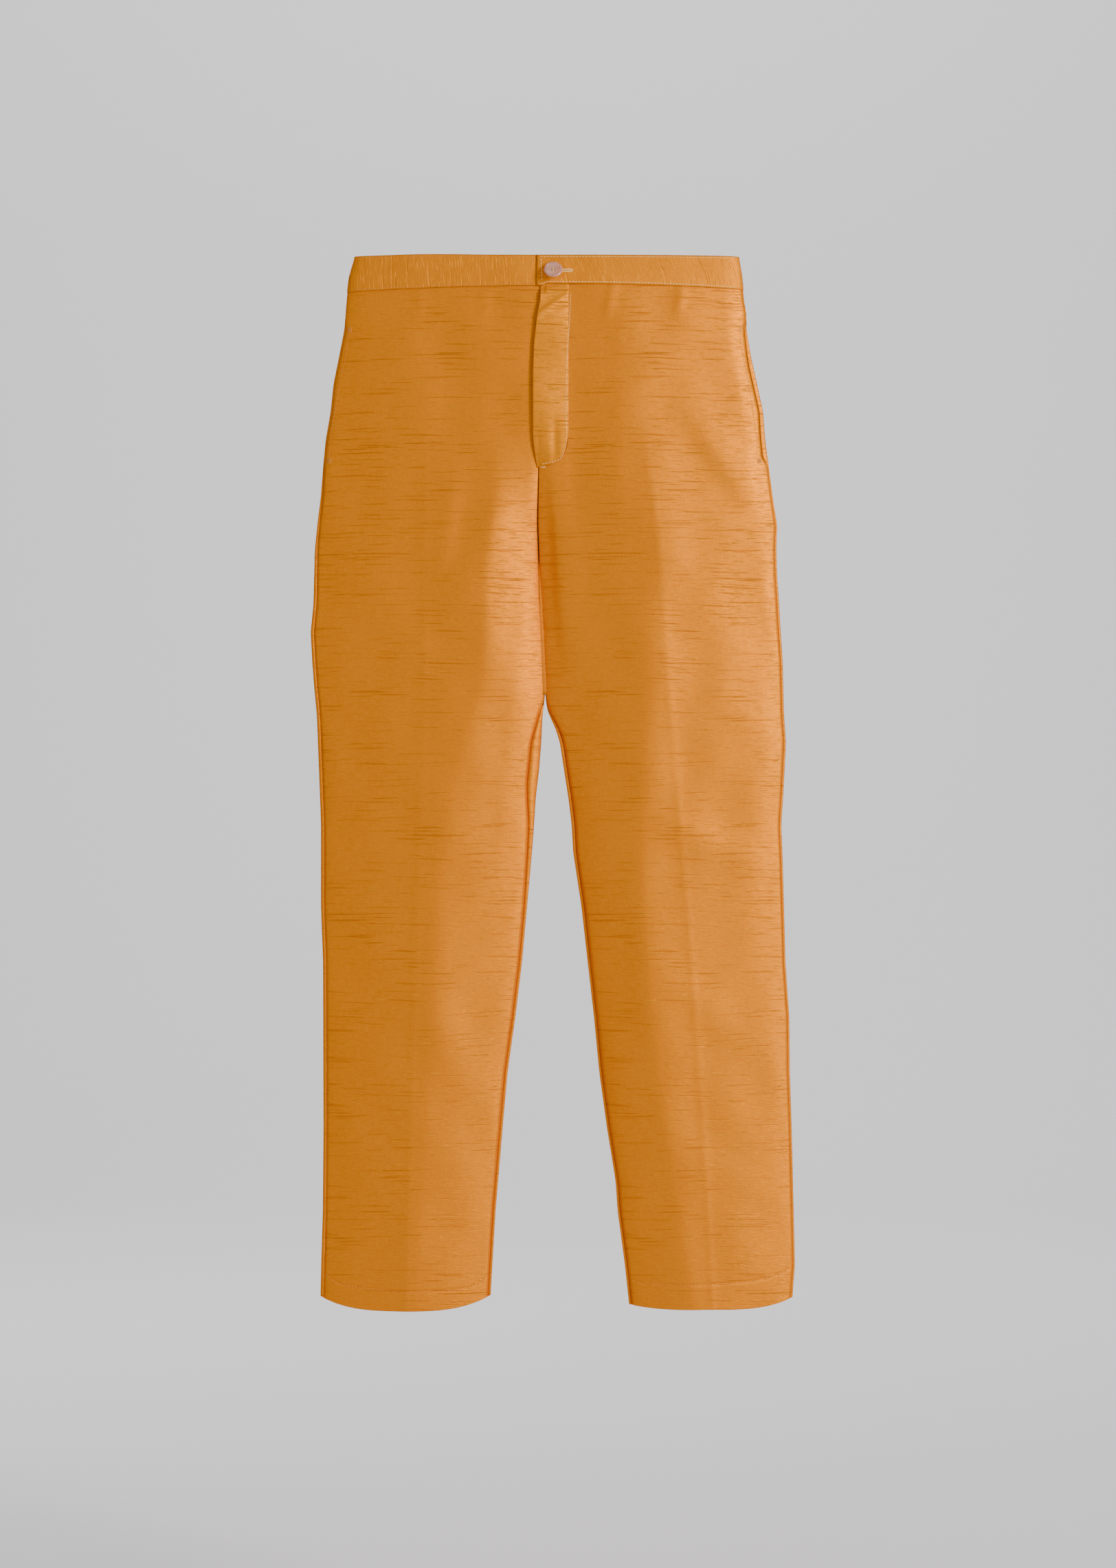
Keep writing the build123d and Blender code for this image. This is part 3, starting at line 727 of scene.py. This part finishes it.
# rows sit closer together over the turned hem
ROWS = np.concatenate([np.linspace(0, 0.962, 350), np.linspace(0.962, 1, 64)[1:]])
FRONT_COLUMNS = 96
BACK_COLUMNS = 84
STRIP = (0.15, 0.4, 0.7, 1.0)  # columns of a strip that has rolled round to the front
POCKET_SET_BACK = 1.3
for side in (-1, 1):
    def span_at(z, side=side):
        return outer_at[side](z) - inner_at[side](z)

    def low_at(z, side=side, span_at=span_at):
        return np.clip(roll_inner_at[side](z), 0, None) / span_at(z)

    def high_at(z, side=side, span_at=span_at):
        return 1 - roll_outer_at[side](z) / span_at(z)

    path = [(-1, between(low_at, high_at, share)) for share in spaced(FRONT_COLUMNS)]
    points = tuck(cloth_grid(side, path, panel_top, hem_line, ROWS))
    cell_x = (points[:-1, :-1, 0] + points[1:, 1:, 0]) / 2
    cell_z = (points[:-1, :-1, 2] + points[1:, 1:, 2]) / 2
    if side > 0:
        keep = (cell_x > FLY_SEAM - 3.0) | (cell_z < flap_bottom(cell_x) + 3.0)
        points, keep = points[:, ::-1], keep[:, ::-1]
    else:
        keep = (cell_x < -1.6) | (cell_z < -199.0)
    panel(side, "front", points, keep, 0.3 * side)

    wrap_in = [(-1, between(constant(0.0), low_at, share)) for share in STRIP[::-1]]
    main = straight(1, spaced(BACK_COLUMNS))
    wrap_out = [(-1, between(constant(1.0), high_at, share)) for share in STRIP]
    points = tuck(cloth_grid(side, wrap_in + main + wrap_out, panel_top, hem_line, ROWS))
    cell_z = (points[:-1, :-1, 2] + points[1:, 1:, 2]) / 2
    inner_part = np.arange(points.shape[1] - 1)[None, :] < len(wrap_in)
    keep = ~(inner_part & (cell_z > -442.0))
    heights = points[:, :, 2]
    at_pocket = smoothstep(-207, -200, heights) * smoothstep(-61, -68, heights)
    strip = np.zeros(points.shape[1])
    strip[len(wrap_in) + len(main):] = [0.5, 1.0, 1.0, 1.0]
    points[:, :, 1] += POCKET_SET_BACK * at_pocket * strip[None, :]
    if side < 0:
        points, keep = points[:, ::-1], keep[:, ::-1]
    panel(side, "back", points, keep, 700 + 300 * side)

# ---------------- waistband
BAND_RISE = 1.2
BAND_SWELL = 0.35
OVERLAP_LIFT = 1.3
BAND_DEPTH = 33


def overlap_lift(x):
    """How far the left band stands out where it covers the right one."""
    return OVERLAP_LIFT * (1 - smoothstep(6, 44, x))


def band_bulge(z):
    return BAND_SWELL * np.sin(math.pi * np.clip(-z / BAND_DEPTH, 0, 1))


def band_top(side, u):
    """Top edge of the waistband, a touch higher over the front."""
    return (BAND_RISE if side < 0 else 0.0) * bell(u - 0.62, 0.28)


def band_low(rise):
    return lambda side, u: band_bottom(side * BAND_HALF * u) + rise


def band_layer(side, name, node, path, top, bottom, inset, thickness, cloth, inside, rows, swell, shift):
    """A layer of the waistband that follows the garment's surface."""
    which = LEG_OF[side]
    points = cloth_grid(side, path, top, bottom, np.linspace(0, 1, rows))
    if swell:
        x, y, z = np.moveaxis(points, 2, 0)
        lift = overlap_lift(x) * (y < 0) if side > 0 else 0.0
        points[:, :, 1] += np.sign(y) * (lift + band_bulge(z))
    if side > 0:
        points = points[:, ::-1]
    obj = sheet_object(which + name, points, thickness, cloth, inside, None, inset, shift)
    declare(obj, "trousers", [which + node])


ROUND = [0.9, 0.93, 0.955, 0.975, 0.987, 0.995, 0.9993]
BACK_RUN = [*ROUND[::-1], *np.linspace(0.86, -0.002, 60)]
BAND_START = {-1: -0.0105, 1: -8.6 / 190.5}
for side in (-1, 1):
    start = BAND_START[side]
    front_run = [start, *np.linspace(start, 0.86, 80)[1:], *ROUND]
    path = straight(-1, front_run) + straight(1, BACK_RUN)
    band_layer(
        side, "_waistband_cloth", "_waistband", path, band_top, band_low(0.0), -0.5, 0.6,
        SILK_BAND_SHADED, SILK_INSIDE_SHADED, 26, True, 60.0 * side,
    )
    path = path[3:]
    band_layer(
        side, "_waistband_fusing", "_waistband_interlining", path, level(-0.8), band_low(1.4), 0.3, 0.35,
        FUSING, FUSING, 8, True, 0.0,
    )
    band_layer(
        side, "_waistband_lining", "_waistband_facing", path, level(-0.6), band_low(0.8), 1.75, 0.5,
        SILK_INSIDE_SHADED, SILK_INSIDE_SHADED, 14, False, 200.0,
    )


def flat_layer(name, node, xs, top, bottom, inset, thickness, cloth, inside, rows,
               face=-1):
    """A layer across the centre, set back from the surface straight along Y."""
    v = np.linspace(0, 1, rows)[:, None]
    x = np.repeat(np.asarray(xs, float)[None, :], rows, axis=0)
    z = top + (bottom - top) * v + 0 * x
    y = face * (height(1, face, x, z) - inset)
    points = np.stack([x, y, z], 2)
    if face < 0:
        points = points[:, ::-1]
    obj = sheet_object(name, points, thickness, cloth, inside)
    declare(obj, "trousers", [node])


flat_layer(
    "waistband_underlap_cloth", "waistband_underlap", np.linspace(-14, 30, 24), -0.8, -27.4, 2.9, 1.4,
    SILK_BAND_SHADED, SILK_INSIDE_SHADED, 14,
)

# ---------------- fly
FLAP_PROUD = 3.8
FLAP_BULGE = 0.5


def flap_stand(t):
    """How far the flap stands before the front, from its fold to its seam."""
    return FLAP_PROUD * (1 - t) ** 0.8 + 0.12


def flap_points(rows, columns, inset):
    """Outer face of the fly flap, from its fold (first column) to its seam."""
    t = np.linspace(0, 1, columns)[None, :]
    v = np.linspace(0, 1, rows)[:, None]
    z = -31.0 - 176.0 * v
    for _ in range(4):
        fold = FLY_FOLD(z)
        x = fold + (FLY_SEAM - fold) * t
        top = band_bottom(x) + 6.0
        z = top + (flap_bottom(x) - top) * v
    bulge = FLAP_BULGE * np.sin(math.pi * t) * smoothstep(-40, -60, z)
    dent = 0.9 * bell(x - 9, 4.0) * bell(z + 184, 20.0)
    rising = (z + 50) - 0.72 * (x - 10)
    diagonal = 1.1 * bell(rising - 3, 4.0) * bell(z + 50, 15.0)
    proud = flap_stand(t) * (1 - 0.76 * smoothstep(-9.0, 0.5, z - band_bottom(x)))
    proud = proud * (0.45 + 0.55 * smoothstep(-212, -184, z))
    y = -(height(1, -1, x, z) + proud + bulge - dent + diagonal - inset)
    return np.stack([x, y, z], 2)


def tube_loop(outside, inside, fold_steps=6):
    """Closed mesh of a folded strip: outside columns, round the fold, back along the inside."""
    rows, columns = outside.shape[:2]
    middle = (outside[:, 0] + inside[:, 0]) / 2
    half = (outside[:, 0] - inside[:, 0]) / 2
    radius = np.linalg.norm(half, axis=1, keepdims=True)
    away = np.array([-1.0, 0.0, 0.0])[None, :]
    bends = []
    for k in range(1, fold_steps):
        angle = math.pi * k / fold_steps
        bends.append(middle + half * math.cos(angle) + away * radius * math.sin(angle))
    loop = np.concatenate([outside[:, ::-1], np.stack(bends, 1), inside], axis=1)
    count = loop.shape[1]
    index = np.arange(rows * count).reshape(rows, count)
    faces = ring_faces(rows, count)
    for i, flip in ((0, False), (rows - 1, True)):
        for j in range((count + 1) // 2 - 1):
            k = count - 1 - j
            corners = [index[i, j], index[i, k], index[i, k - 1], index[i, j + 1]]
            if k - 1 == j + 1:
                corners.pop()
            faces.append(corners[::-1] if flip else corners)
    return loop.reshape(-1, 3), faces


folded = tube_loop(flap_points(150, 34, 0.0), flap_points(150, 34, 0.55))
obj = merged("fly_flap_cloth", [folded], [SILK_FLY_SHADED])
declare(obj, "fly", ["fly_flap"])
facing = flap_points(60, 16, 0.75)[:, :0:-1]
obj = sheet_object("fly_facing_cloth", facing, 0.45, SILK_INSIDE_SHADED, SILK_INSIDE_SHADED)
declare(obj, "fly", ["fly_facing"])

FLY_TOP = -33.5
FLY_FOOT = -201
for name, node, xs, inset, thickness, width in (
    ("fly_shield_cloth", "fly_shield", np.linspace(-16, 24, 20), 9.6, 0.9, 0.04),
    ("fly_seam_cloth", "fly_seam_allowance", np.linspace(-15, -2.4, 10), 1.2, 0.5, 0.0126),
):
    flat_layer(
        name, node, xs, FLY_TOP, FLY_FOOT, inset, thickness, SILK_INSIDE_SHADED, SILK_INSIDE_SHADED, 60,
    )

ZIP_X = 3.0
CHAIN_HALF = 3.7
TAPE_WIDTH = 13.0
for side in (-1, 1):
    edge = ZIP_X + side * CHAIN_HALF
    xs = np.sort(np.linspace(edge, edge + side * TAPE_WIDTH, 12))
    flat_layer(
        LEG_OF[side] + "_zip_tape_cloth", LEG_OF[side] + "_zip_tape", xs, -38, -199, 4.6, 0.45,
        TAPE_CLOTH, TAPE_CLOTH, 60,
    )

# ---------------- pockets, seams and hems
def strip_layer(side, name, nodes, face, low, high, top, bottom, inset, columns=8, rows=60):
    """A narrow layer between two distances from the centre, given as functions of height."""

    def share_of(distance_at):
        return lambda z: (distance_at(z) - inner_at[side](z)) / (outer_at[side](z) - inner_at[side](z))

    path = [(face, between(share_of(low), share_of(high), share)) for share in np.linspace(0, 1, columns)]
    points = cloth_grid(side, path, level(top), level(bottom), np.linspace(0, 1, rows))
    points[:, :, 1] -= face * inset
    if face * side < 0:
        points = points[:, ::-1]
    obj = sheet_object(LEG_OF[side] + name, points, 0.5, SILK_INSIDE_SHADED, SILK_INSIDE_SHADED)
    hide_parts(*(LEG_OF[side] + node for node in nodes))
    return obj


def set_from(edge_at, side, distance):
    """A distance in from the leg's edge, as a function of height."""
    return lambda z: edge_at[side](z) + distance


POCKET_TOP = -67.0
POCKET_FOOT = -292.0


def pocket_bag(side):
    """Two plies, wider at the side seam, rounded at the foot and joined all round."""
    rows, columns = 70, 40
    v = np.linspace(0, 1, rows)[:, None]
    t = np.linspace(0, 1, columns)[None, :]
    z = POCKET_TOP + (POCKET_FOOT - POCKET_TOP) * v + 0 * t
    outer = 0.93 * outer_at[side](z)
    foot = np.sqrt(np.clip(1 - np.clip((v - 0.78) / 0.22, 0, 1) ** 2, 0.02, 1))
    low = 112 + (1 - foot) * 30
    high = outer - (1 - foot) * 34
    x = side * (low + (high - low) * t)
    front = -(height(side, -1, x, z) - 2.3)
    back = np.minimum(front + 12.0, -0.6 + 0 * front)
    pinch = 1 - np.abs(2 * t - 1) ** 8
    front = back + (front - back) * pinch
    plies = []
    for y, flip in ((front, True), (back, False)):
        points = np.stack([x, y, z], 2)
        outward = flip if side > 0 else not flip
        points = points[:, ::-1] if outward else points
        n = normals_of(points)
        vertices, faces, _, _ = closed_sheet(points, points - n * 0.4)
        plies.append((vertices, faces.tolist()))
    which = LEG_OF[side]
    obj = merged(which + "_pocket_bag_cloth", plies, [LINING])
    nodes = [which + "_pocket_bag"]
    declare(obj, "trousers", nodes)


def hem_foot(side, u):
    """Lower edge of the turned cloth, just inside the fold."""
    return hem_line(side, u) - 0.3


HEM_INSIDE = -1019.0  # raw edge of the turned cloth
SEAM_FOOT = -1016.0
SEAMS = (("side_seam", outer_at, -10.0, -2.0, -36.0), ("inseam", inner_at, 2.0, 10.0, -446.0))
for side in (-1, 1):
    which = LEG_OF[side]
    pocket_bag(side)
    obj = strip_layer(
        side, "_pocket_facing_cloth", ["_pocket_facing"], -1, set_from(outer_at, side, -30.0),
        set_from(outer_at, side, -0.9), POCKET_TOP, -199, 3.4,
    )
    declare(obj, "trousers", None)
    for kind, edge_at, near, far, top in SEAMS:
        obj = strip_layer(
            side, "_" + kind + "_cloth", ["_" + kind, "_lower_" + kind], 1, set_from(edge_at, side, near),
            set_from(edge_at, side, far), top, SEAM_FOOT, 1.5, 6, 200,
        )
        blend_leg(obj)
        declare(
            obj, None, None,
        )

    # turned hem: a closed ring inside the leg
    around = straight(-1, [*np.linspace(0.004, 0.86, 50), *ROUND]) + straight(1, BACK_RUN)
    points = cloth_grid(side, around, level(HEM_INSIDE), hem_foot, np.linspace(0, 1, 10))
    if side > 0:
        points = points[:, ::-1]
    obj = sheet_object(which + "_hem_cloth", points, 0.6, SILK, SILK_INSIDE_SHADED, None, 1.2)
    body, nodes = which + "_lower_leg", [which + "_hem"]
    declare(obj, body, nodes)

RISE_FOOT = -432.0
for name, face, top in (("front_rise_seam", -1, -210.0), ("back_rise_seam", 1, -36.0)):
    flat_layer(
        name + "_cloth", name, np.linspace(-7, 7, 8), top, RISE_FOOT, 2.6, 0.5, SILK_INSIDE_SHADED, SILK_INSIDE_SHADED, 90,
        face,
    )


# ---------------- stitching
FLATNESS = 0.7  # a stitch's height as a share of its width


def capsule(start, end, normal, radius, around=6):
    """One stitch: a short rounded bar lying along the cloth, sinking at both ends."""
    start, end, normal = Vector(start), Vector(end), Vector(normal).normalized()
    along = (end - start).normalized()
    across = along.cross(normal).normalized()
    # share of the length, share of the radius, height in radii
    rings = ((0.0, 0.25, -0.45), (0.14, 0.85, 0.1), (0.5, 1.0, 0.3), (0.86, 0.85, 0.1), (1.0, 0.25, -0.45))
    points = []
    for share, size, rise in rings:
        centre = start.lerp(end, share) + normal * radius * rise
        for k in range(around):
            angle = 2 * math.pi * k / around
            points.append(centre + across * radius * size * math.cos(angle)
                          + normal * radius * size * FLATNESS * math.sin(angle))
    faces = ring_faces(len(rings), around)
    faces.append(list(range(around))[::-1])
    faces.append([(len(rings) - 1) * around + k for k in range(around)])
    return [tuple(p) for p in points], faces


def stitch_row(line, on_surface, length, gap, radius):
    """Stitches along a line of (x, z) points lying on a surface."""
    line = np.asarray(line, float)
    run = np.concatenate([[0], np.cumsum(np.hypot(*np.diff(line, axis=0).T))])
    parts = []
    at = gap
    while at + length < run[-1]:
        ends = []
        for s in (at, at + length):
            x, z = np.interp(s, run, line[:, 0]), np.interp(s, run, line[:, 1])
            ends.append(on_surface(x, z))
        (a, normal), (b, _) = ends
        parts.append(capsule(a, b, normal, radius))
        at += length + gap
    return parts


def surface_point(side, face, proud):
    """Function giving the point on the cloth and the way it faces."""

    def place(x, z):
        y = {}
        step = 0.5
        for key, dx, dz in (("c", 0, 0), ("x", step, 0), ("z", 0, step)):
            y[key] = face * (float(height(side, face, np.array(x + dx), np.array(z + dz))) + proud(x, z))
        slope = Vector(((y["x"] - y["c"]) / step, -1.0, (y["z"] - y["c"]) / step))
        normal = slope if face < 0 else -slope
        return (x, y["c"], z), normal.normalized()

    return place


def smooth_line(points, steps=14):
    """Rounded path through a few points."""
    p = [np.array(q, float) for q in points]
    p = [2 * p[0] - p[1], *p, 2 * p[-1] - p[-2]]
    out = []
    for i in range(1, len(p) - 2):
        for t in np.linspace(0, 1, steps, endpoint=False):
            before, here, ahead, beyond = p[i - 1:i + 3]
            square = (2 * before - 5 * here + 4 * ahead - beyond) * t**2
            cube = (3 * here - before - 3 * ahead + beyond) * t**3
            out.append(0.5 * (2 * here + (ahead - before) * t + square + cube))
    out.append(p[-2])
    return out


def stitched(name, parts, body, material=THREAD, nodes=None):
    declare(merged(name, parts, [material]), body, nodes)


def band_swell(x, z):
    lift = overlap_lift(x) if x > -8.5 else 0.0
    return 0.5 + lift + band_bulge(z)


def flap_proud(x, z):
    fold = float(FLY_FOLD(z))
    t = min(max((x - fold) / (FLY_SEAM - fold), 0), 1)
    return flap_stand(t) + FLAP_BULGE * math.sin(math.pi * t)


def lying(proud):
    """Stitches that stand a fixed height off the cloth."""
    return lambda x, z: proud


EDGE = 1.9  # from the waistband's edges to its stitch rows
for side in (-1, 1):
    xs = np.linspace(-11 if side < 0 else -5.5, side * 188, 90)
    on_band = surface_point(side, -1, band_swell)
    parts = stitch_row([(x, float(band_bottom(x)) + EDGE) for x in xs], on_band, 2.4, 0.7, 0.42)
    parts += stitch_row([(x, -EDGE) for x in xs], on_band, 2.4, 0.7, 0.32)
    # the right half's rows take the deeper thread as painted shade on the half away from the key light; the
    # left half's rows take the pale thread
    stitched(LEG_OF[side] + "_waistband_stitches", parts, "trousers", THREAD_DEEP if side < 0 else THREAD)
upright = [(-5.0 + 0.06 * -z, z) for z in np.linspace(-3.5, -27.5, 12)]
stitched("overlap_stitches", stitch_row(upright, surface_point(1, -1, band_swell), 2.4, 0.7, 0.4), "trousers")

J_LINE = [(24.4, -38), (23.6, -60), (22.6, -77), (20.6, -113), (19.9, -156), (20.6, -180), (18.4, -193),
          (14.6, -200.5), (8, -203.6), (-5.0, -206.4)]
parts = stitch_row(smooth_line(J_LINE), surface_point(1, -1, flap_proud), 2.3, 0.7, 0.36)
stitched("fly_stitches", parts, "fly", THREAD, ["fly_topstitch"])

for side in (-1, 1):
    parts = stitch_row(smooth_line(HEM_LINES[side]), surface_point(side, -1, lying(0.15)), 2.4, 1.0, 0.34)
    inner, outer = float(inner_at[side](HEM_INSIDE)), float(outer_at[side](HEM_INSIDE))
    line = [(side * (inner + share * (outer - inner)), BACK_HEM) for share in np.linspace(0.05, 0.95, 40)]
    parts += stitch_row(line, surface_point(side, 1, lying(0.15)), 2.4, 1.0, 0.34)
    stitched(LEG_OF[side] + "_hem_stitches", parts, LEG_OF[side] + "_lower_leg", THREAD_DEEP)

MOUTH_LINES = {
    1: [(192.6, -68), (191.9, -82), (195.3, -102), (201.8, -136), (206, -167), (208.6, -186), (207.6, -197)],
    -1: [(-194.0, -70), (-197.5, -99), (-204.0, -130), (-208.0, -153), (-212.0, -180), (-213.6, -197)],
}
BARTACK_PITCH = 0.75
for side in (-1, 1):
    parts = stitch_row(smooth_line(MOUTH_LINES[side]), surface_point(side, -1, lying(0.1)), 2.3, 0.9, 0.32)
    place = surface_point(side, -1, lying(0.15))
    for z in (-70.0, -199.0):
        x = side * (float(outer_at[side](z)) - float(roll_outer_at[side](z)) - 1.0)
        for k in range(7):
            a, normal = place(x, z - k * BARTACK_PITCH)
            b, _ = place(x - side * 4.6, z - k * BARTACK_PITCH - 0.3)
            parts.append(capsule(a, b, normal, 0.34))
    which = LEG_OF[side]
    stitched(which + "_pocket_stitches", parts, "trousers", THREAD_DEEP, [which + "_pocket_bartacks"])

# bartack at the foot of the fly
place = surface_point(1, -1, lying(0.35))
parts = []
for k in range(9):
    a, normal = place(-6.6 + 0.1 * k, -204.4 - 0.62 * k)
    b, _ = place(-0.6 + 0.1 * k, -203.6 - 0.62 * k)
    parts.append(capsule(a, b, normal, 0.36))
stitched("fly_bartack_stitches", parts, "trousers", THREAD, ["fly_bartack"])

# ---------------- button and buttonhole
BUTTON = Vector((7.5, -23.42, -15.5))
TILT = math.radians(30)
FACE_OUT = Vector((0, -math.cos(TILT), math.sin(TILT)))
SPIN_X = Vector((1, 0, 0))
SPIN_Z = FACE_OUT.cross(SPIN_X)


def on_button(across, up, rise):
    """Point of the tilted button, measured from its centre."""
    return BUTTON + SPIN_X * across + SPIN_Z * up + FACE_OUT * rise


def button_ring(radius, rise, around, centre=(0.0, 0.0)):
    angles = [2 * math.pi * k / around for k in range(around)]
    return [
        tuple(on_button(centre[0] + radius * math.cos(a), centre[1] + radius * math.sin(a), rise))
        for a in angles
    ]


def lathe(profile, around=72):
    points = []
    for radius, rise in profile:
        points += button_ring(radius, rise, around)
    return points, ring_faces(len(profile), around, True)


# (radius, rise) from the middle of the front round the rim to the middle of the back
PROFILE = [
    (0.01, 0.15), (2.9, 0.15), (4.6, 0.3), (5.6, 0.62), (6.3, 1.05), (7.2, 1.32), (8.2, 1.3), (8.9, 0.95),
    (9.2, 0.3), (9.1, -0.45), (8.5, -1.0), (6.8, -1.2), (3.4, -1.2), (0.01, -1.2),
]
button = merged("waist_button_resin", [lathe(PROFILE)], [RESIN])
HOLE_SPREAD = 1.55
HOLE_ANGLES = [math.pi / 4 + k * math.pi / 2 for k in range(4)]
HOLES = [(HOLE_SPREAD * math.cos(a), HOLE_SPREAD * math.sin(a)) for a in HOLE_ANGLES]


def post(centre, radius=0.85, reach=4, around=24):
    """Round cutter through the button."""
    points = button_ring(radius, -reach, around, centre) + button_ring(radius, reach, around, centre)
    faces = ring_faces(2, around)
    faces += [list(range(around))[::-1], [around + k for k in range(around)]]
    return points, faces


cutters = merged("hole_cutters", [post(centre) for centre in HOLES], [])
for mesh_object in (button, cutters):
    bm = bmesh.new()
    bm.from_mesh(mesh_object.data)
    bmesh.ops.remove_doubles(bm, verts=bm.verts, dist=0.00002)
    bmesh.ops.recalc_face_normals(bm, faces=bm.faces)
    bm.to_mesh(mesh_object.data)
    bm.free()
cut = button.modifiers.new("holes", "BOOLEAN")
cut.object = cutters
cut.operation = "DIFFERENCE"
cut.solver = "EXACT"
bpy.context.view_layer.update()
ready = bpy.data.meshes.new_from_object(button.evaluated_get(bpy.context.evaluated_depsgraph_get()))
button.modifiers.clear()
button.data = ready
bpy.data.objects.remove(cutters)
declare(button, "button_body", ["waist_button"])

parts = []
for a, b in ((0, 1), (3, 2)):
    for shift in (-0.42, 0.0, 0.42):
        start, end = (on_button(HOLES[i][0], HOLES[i][1] + shift, 0.32) for i in (a, b))
        parts.append(capsule(start, end, FACE_OUT, 0.3))
stitched("button_thread_loops", parts, "button_body", THREAD, ["button_thread"])

# buttonhole: a ring of close stitches round a slit
SLOT_LEFT, SLOT_RIGHT, SLOT_Z, SLOT_HALF = 5.5, 25.0, -15.5, 1.25
place = surface_point(1, -1, lambda x, z: band_swell(x, z) + 0.1)
parts = []
for k in range(44):
    x = SLOT_LEFT + (SLOT_RIGHT - SLOT_LEFT) * k / 43
    for sign in (-1, 1):
        a, normal = place(x, SLOT_Z + sign * 0.25)
        b, _ = place(x, SLOT_Z + sign * (SLOT_HALF + 0.5))
        parts.append(capsule(a, b, normal, 0.27))
for end, x in ((-1, SLOT_LEFT), (1, SLOT_RIGHT)):
    for k in range(-3, 4):
        angle = k * math.pi / 8
        a, normal = place(x + end * 0.1, SLOT_Z)
        b, _ = place(x + end * 1.9 * math.cos(angle), SLOT_Z + 1.8 * math.sin(angle))
        parts.append(capsule(a, b, normal, 0.27))
stitched("buttonhole_stitches", parts, "trousers", THREAD, ["buttonhole_stitching"])


# ---------------- CAD pieces that stay
WORN_BY = {
    "zip_slider": BRASS,
    "zip_pull_tab": BRASS,
    "zip_bottom_stop": BRASS,
    "left_zip_top_stop": BRASS,
    "right_zip_top_stop": BRASS,
    "left_zip_teeth": TEETH,
    "right_zip_teeth": TEETH,
    "button_shank": THREAD,
}
for name, material in WORN_BY.items():
    node = bpy.data.objects.get(name)
    if node is None:
        raise SystemExit("missing CAD node " + name)
    for slot_of in node.material_slots:
        slot_of.material = material

# ---------------- floor, backdrop, light, camera
FLOOR_Z = -1.42
BACK_Y = 6.5
WALL_TOP = 6.5
SWEEP = 2.4
SWEEP_STEPS = 16
STAGE_HALF = 40.0


def stage_plane():
    """Pale floor that curves up into a wall far behind."""
    profile = [(-STAGE_HALF, FLOOR_Z), (BACK_Y - SWEEP, FLOOR_Z)]
    for k in range(1, SWEEP_STEPS + 1):
        angle = math.pi / 2 * k / SWEEP_STEPS
        profile.append((BACK_Y - SWEEP * (1 - math.sin(angle)), FLOOR_Z + SWEEP * (1 - math.cos(angle))))
    profile.append((BACK_Y, WALL_TOP))
    points, faces = [], []
    for y, z in profile:
        points += [(-STAGE_HALF, y, z), (STAGE_HALF, y, z)]
    for i in range(len(profile) - 1):
        faces.append([2 * i, 2 * i + 1, 2 * i + 3, 2 * i + 2])
    mesh = bpy.data.meshes.new("backdrop")
    mesh.from_pydata(points, [], faces)
    mesh.polygons.foreach_set("use_smooth", np.ones(len(faces), dtype=bool))
    paper = Nodes("backdrop_paper")
    grain = paper.times(paper.noise(paper.place(), 90.0, 3.0), 0.1)
    paper.set(base_color=paper.mix(grain, rgb(216, 213, 215), rgb(210, 207, 209)))
    paper.set(roughness=0.95, specular_ior_level=0.05)
    mesh.materials.append(paper.material)
    link("backdrop", mesh)


stage_plane()
world = bpy.context.scene.world or bpy.data.worlds.new("world")
bpy.context.scene.world = world
world.use_nodes = True
background = world.node_tree.nodes.get("Background")
background.inputs["Color"].default_value = rgb(226, 228, 232)
background.inputs["Strength"].default_value = 0.54


def area_light(name, place, target, size, power, colour=(1, 1, 1)):
    data = bpy.data.lights.new(name, "AREA")
    data.shape = "RECTANGLE"
    data.size, data.size_y = size
    data.energy = power
    data.color = colour
    lamp = link(name, data)
    lamp.location = place
    lamp.rotation_euler = (Vector(target) - Vector(place)).to_track_quat("-Z", "Y").to_euler()


MIDDLE = (0.0, 0.0, -0.5)
area_light("key", (2.7, -2.4, 0.7), MIDDLE, (1.0, 1.8), 162.0, (0.98, 1.0, 0.93))
area_light("fill", (-2.4, -2.8, 0.2), MIDDLE, (1.8, 2.2), 16.0, (0.98, 0.98, 1.0))
area_light("rear", (-1.8, 2.4, 1.2), MIDDLE, (1.2, 1.2), 45.0)
area_light("sweep", (0.0, 2.6, 3.4), (0.0, 6.5, -0.7), (6.0, 1.2), 300.0)

camera_data = bpy.data.cameras.new("camera")
camera_data.lens = 85.0
camera_data.sensor_fit = "VERTICAL"
camera_data.sensor_height = 36.0
camera = link("camera", camera_data)
camera.location = (0.0122, -3.653, -0.520)
camera.rotation_euler = (math.pi / 2, 0.0, 0.0)
bpy.context.scene.camera = camera
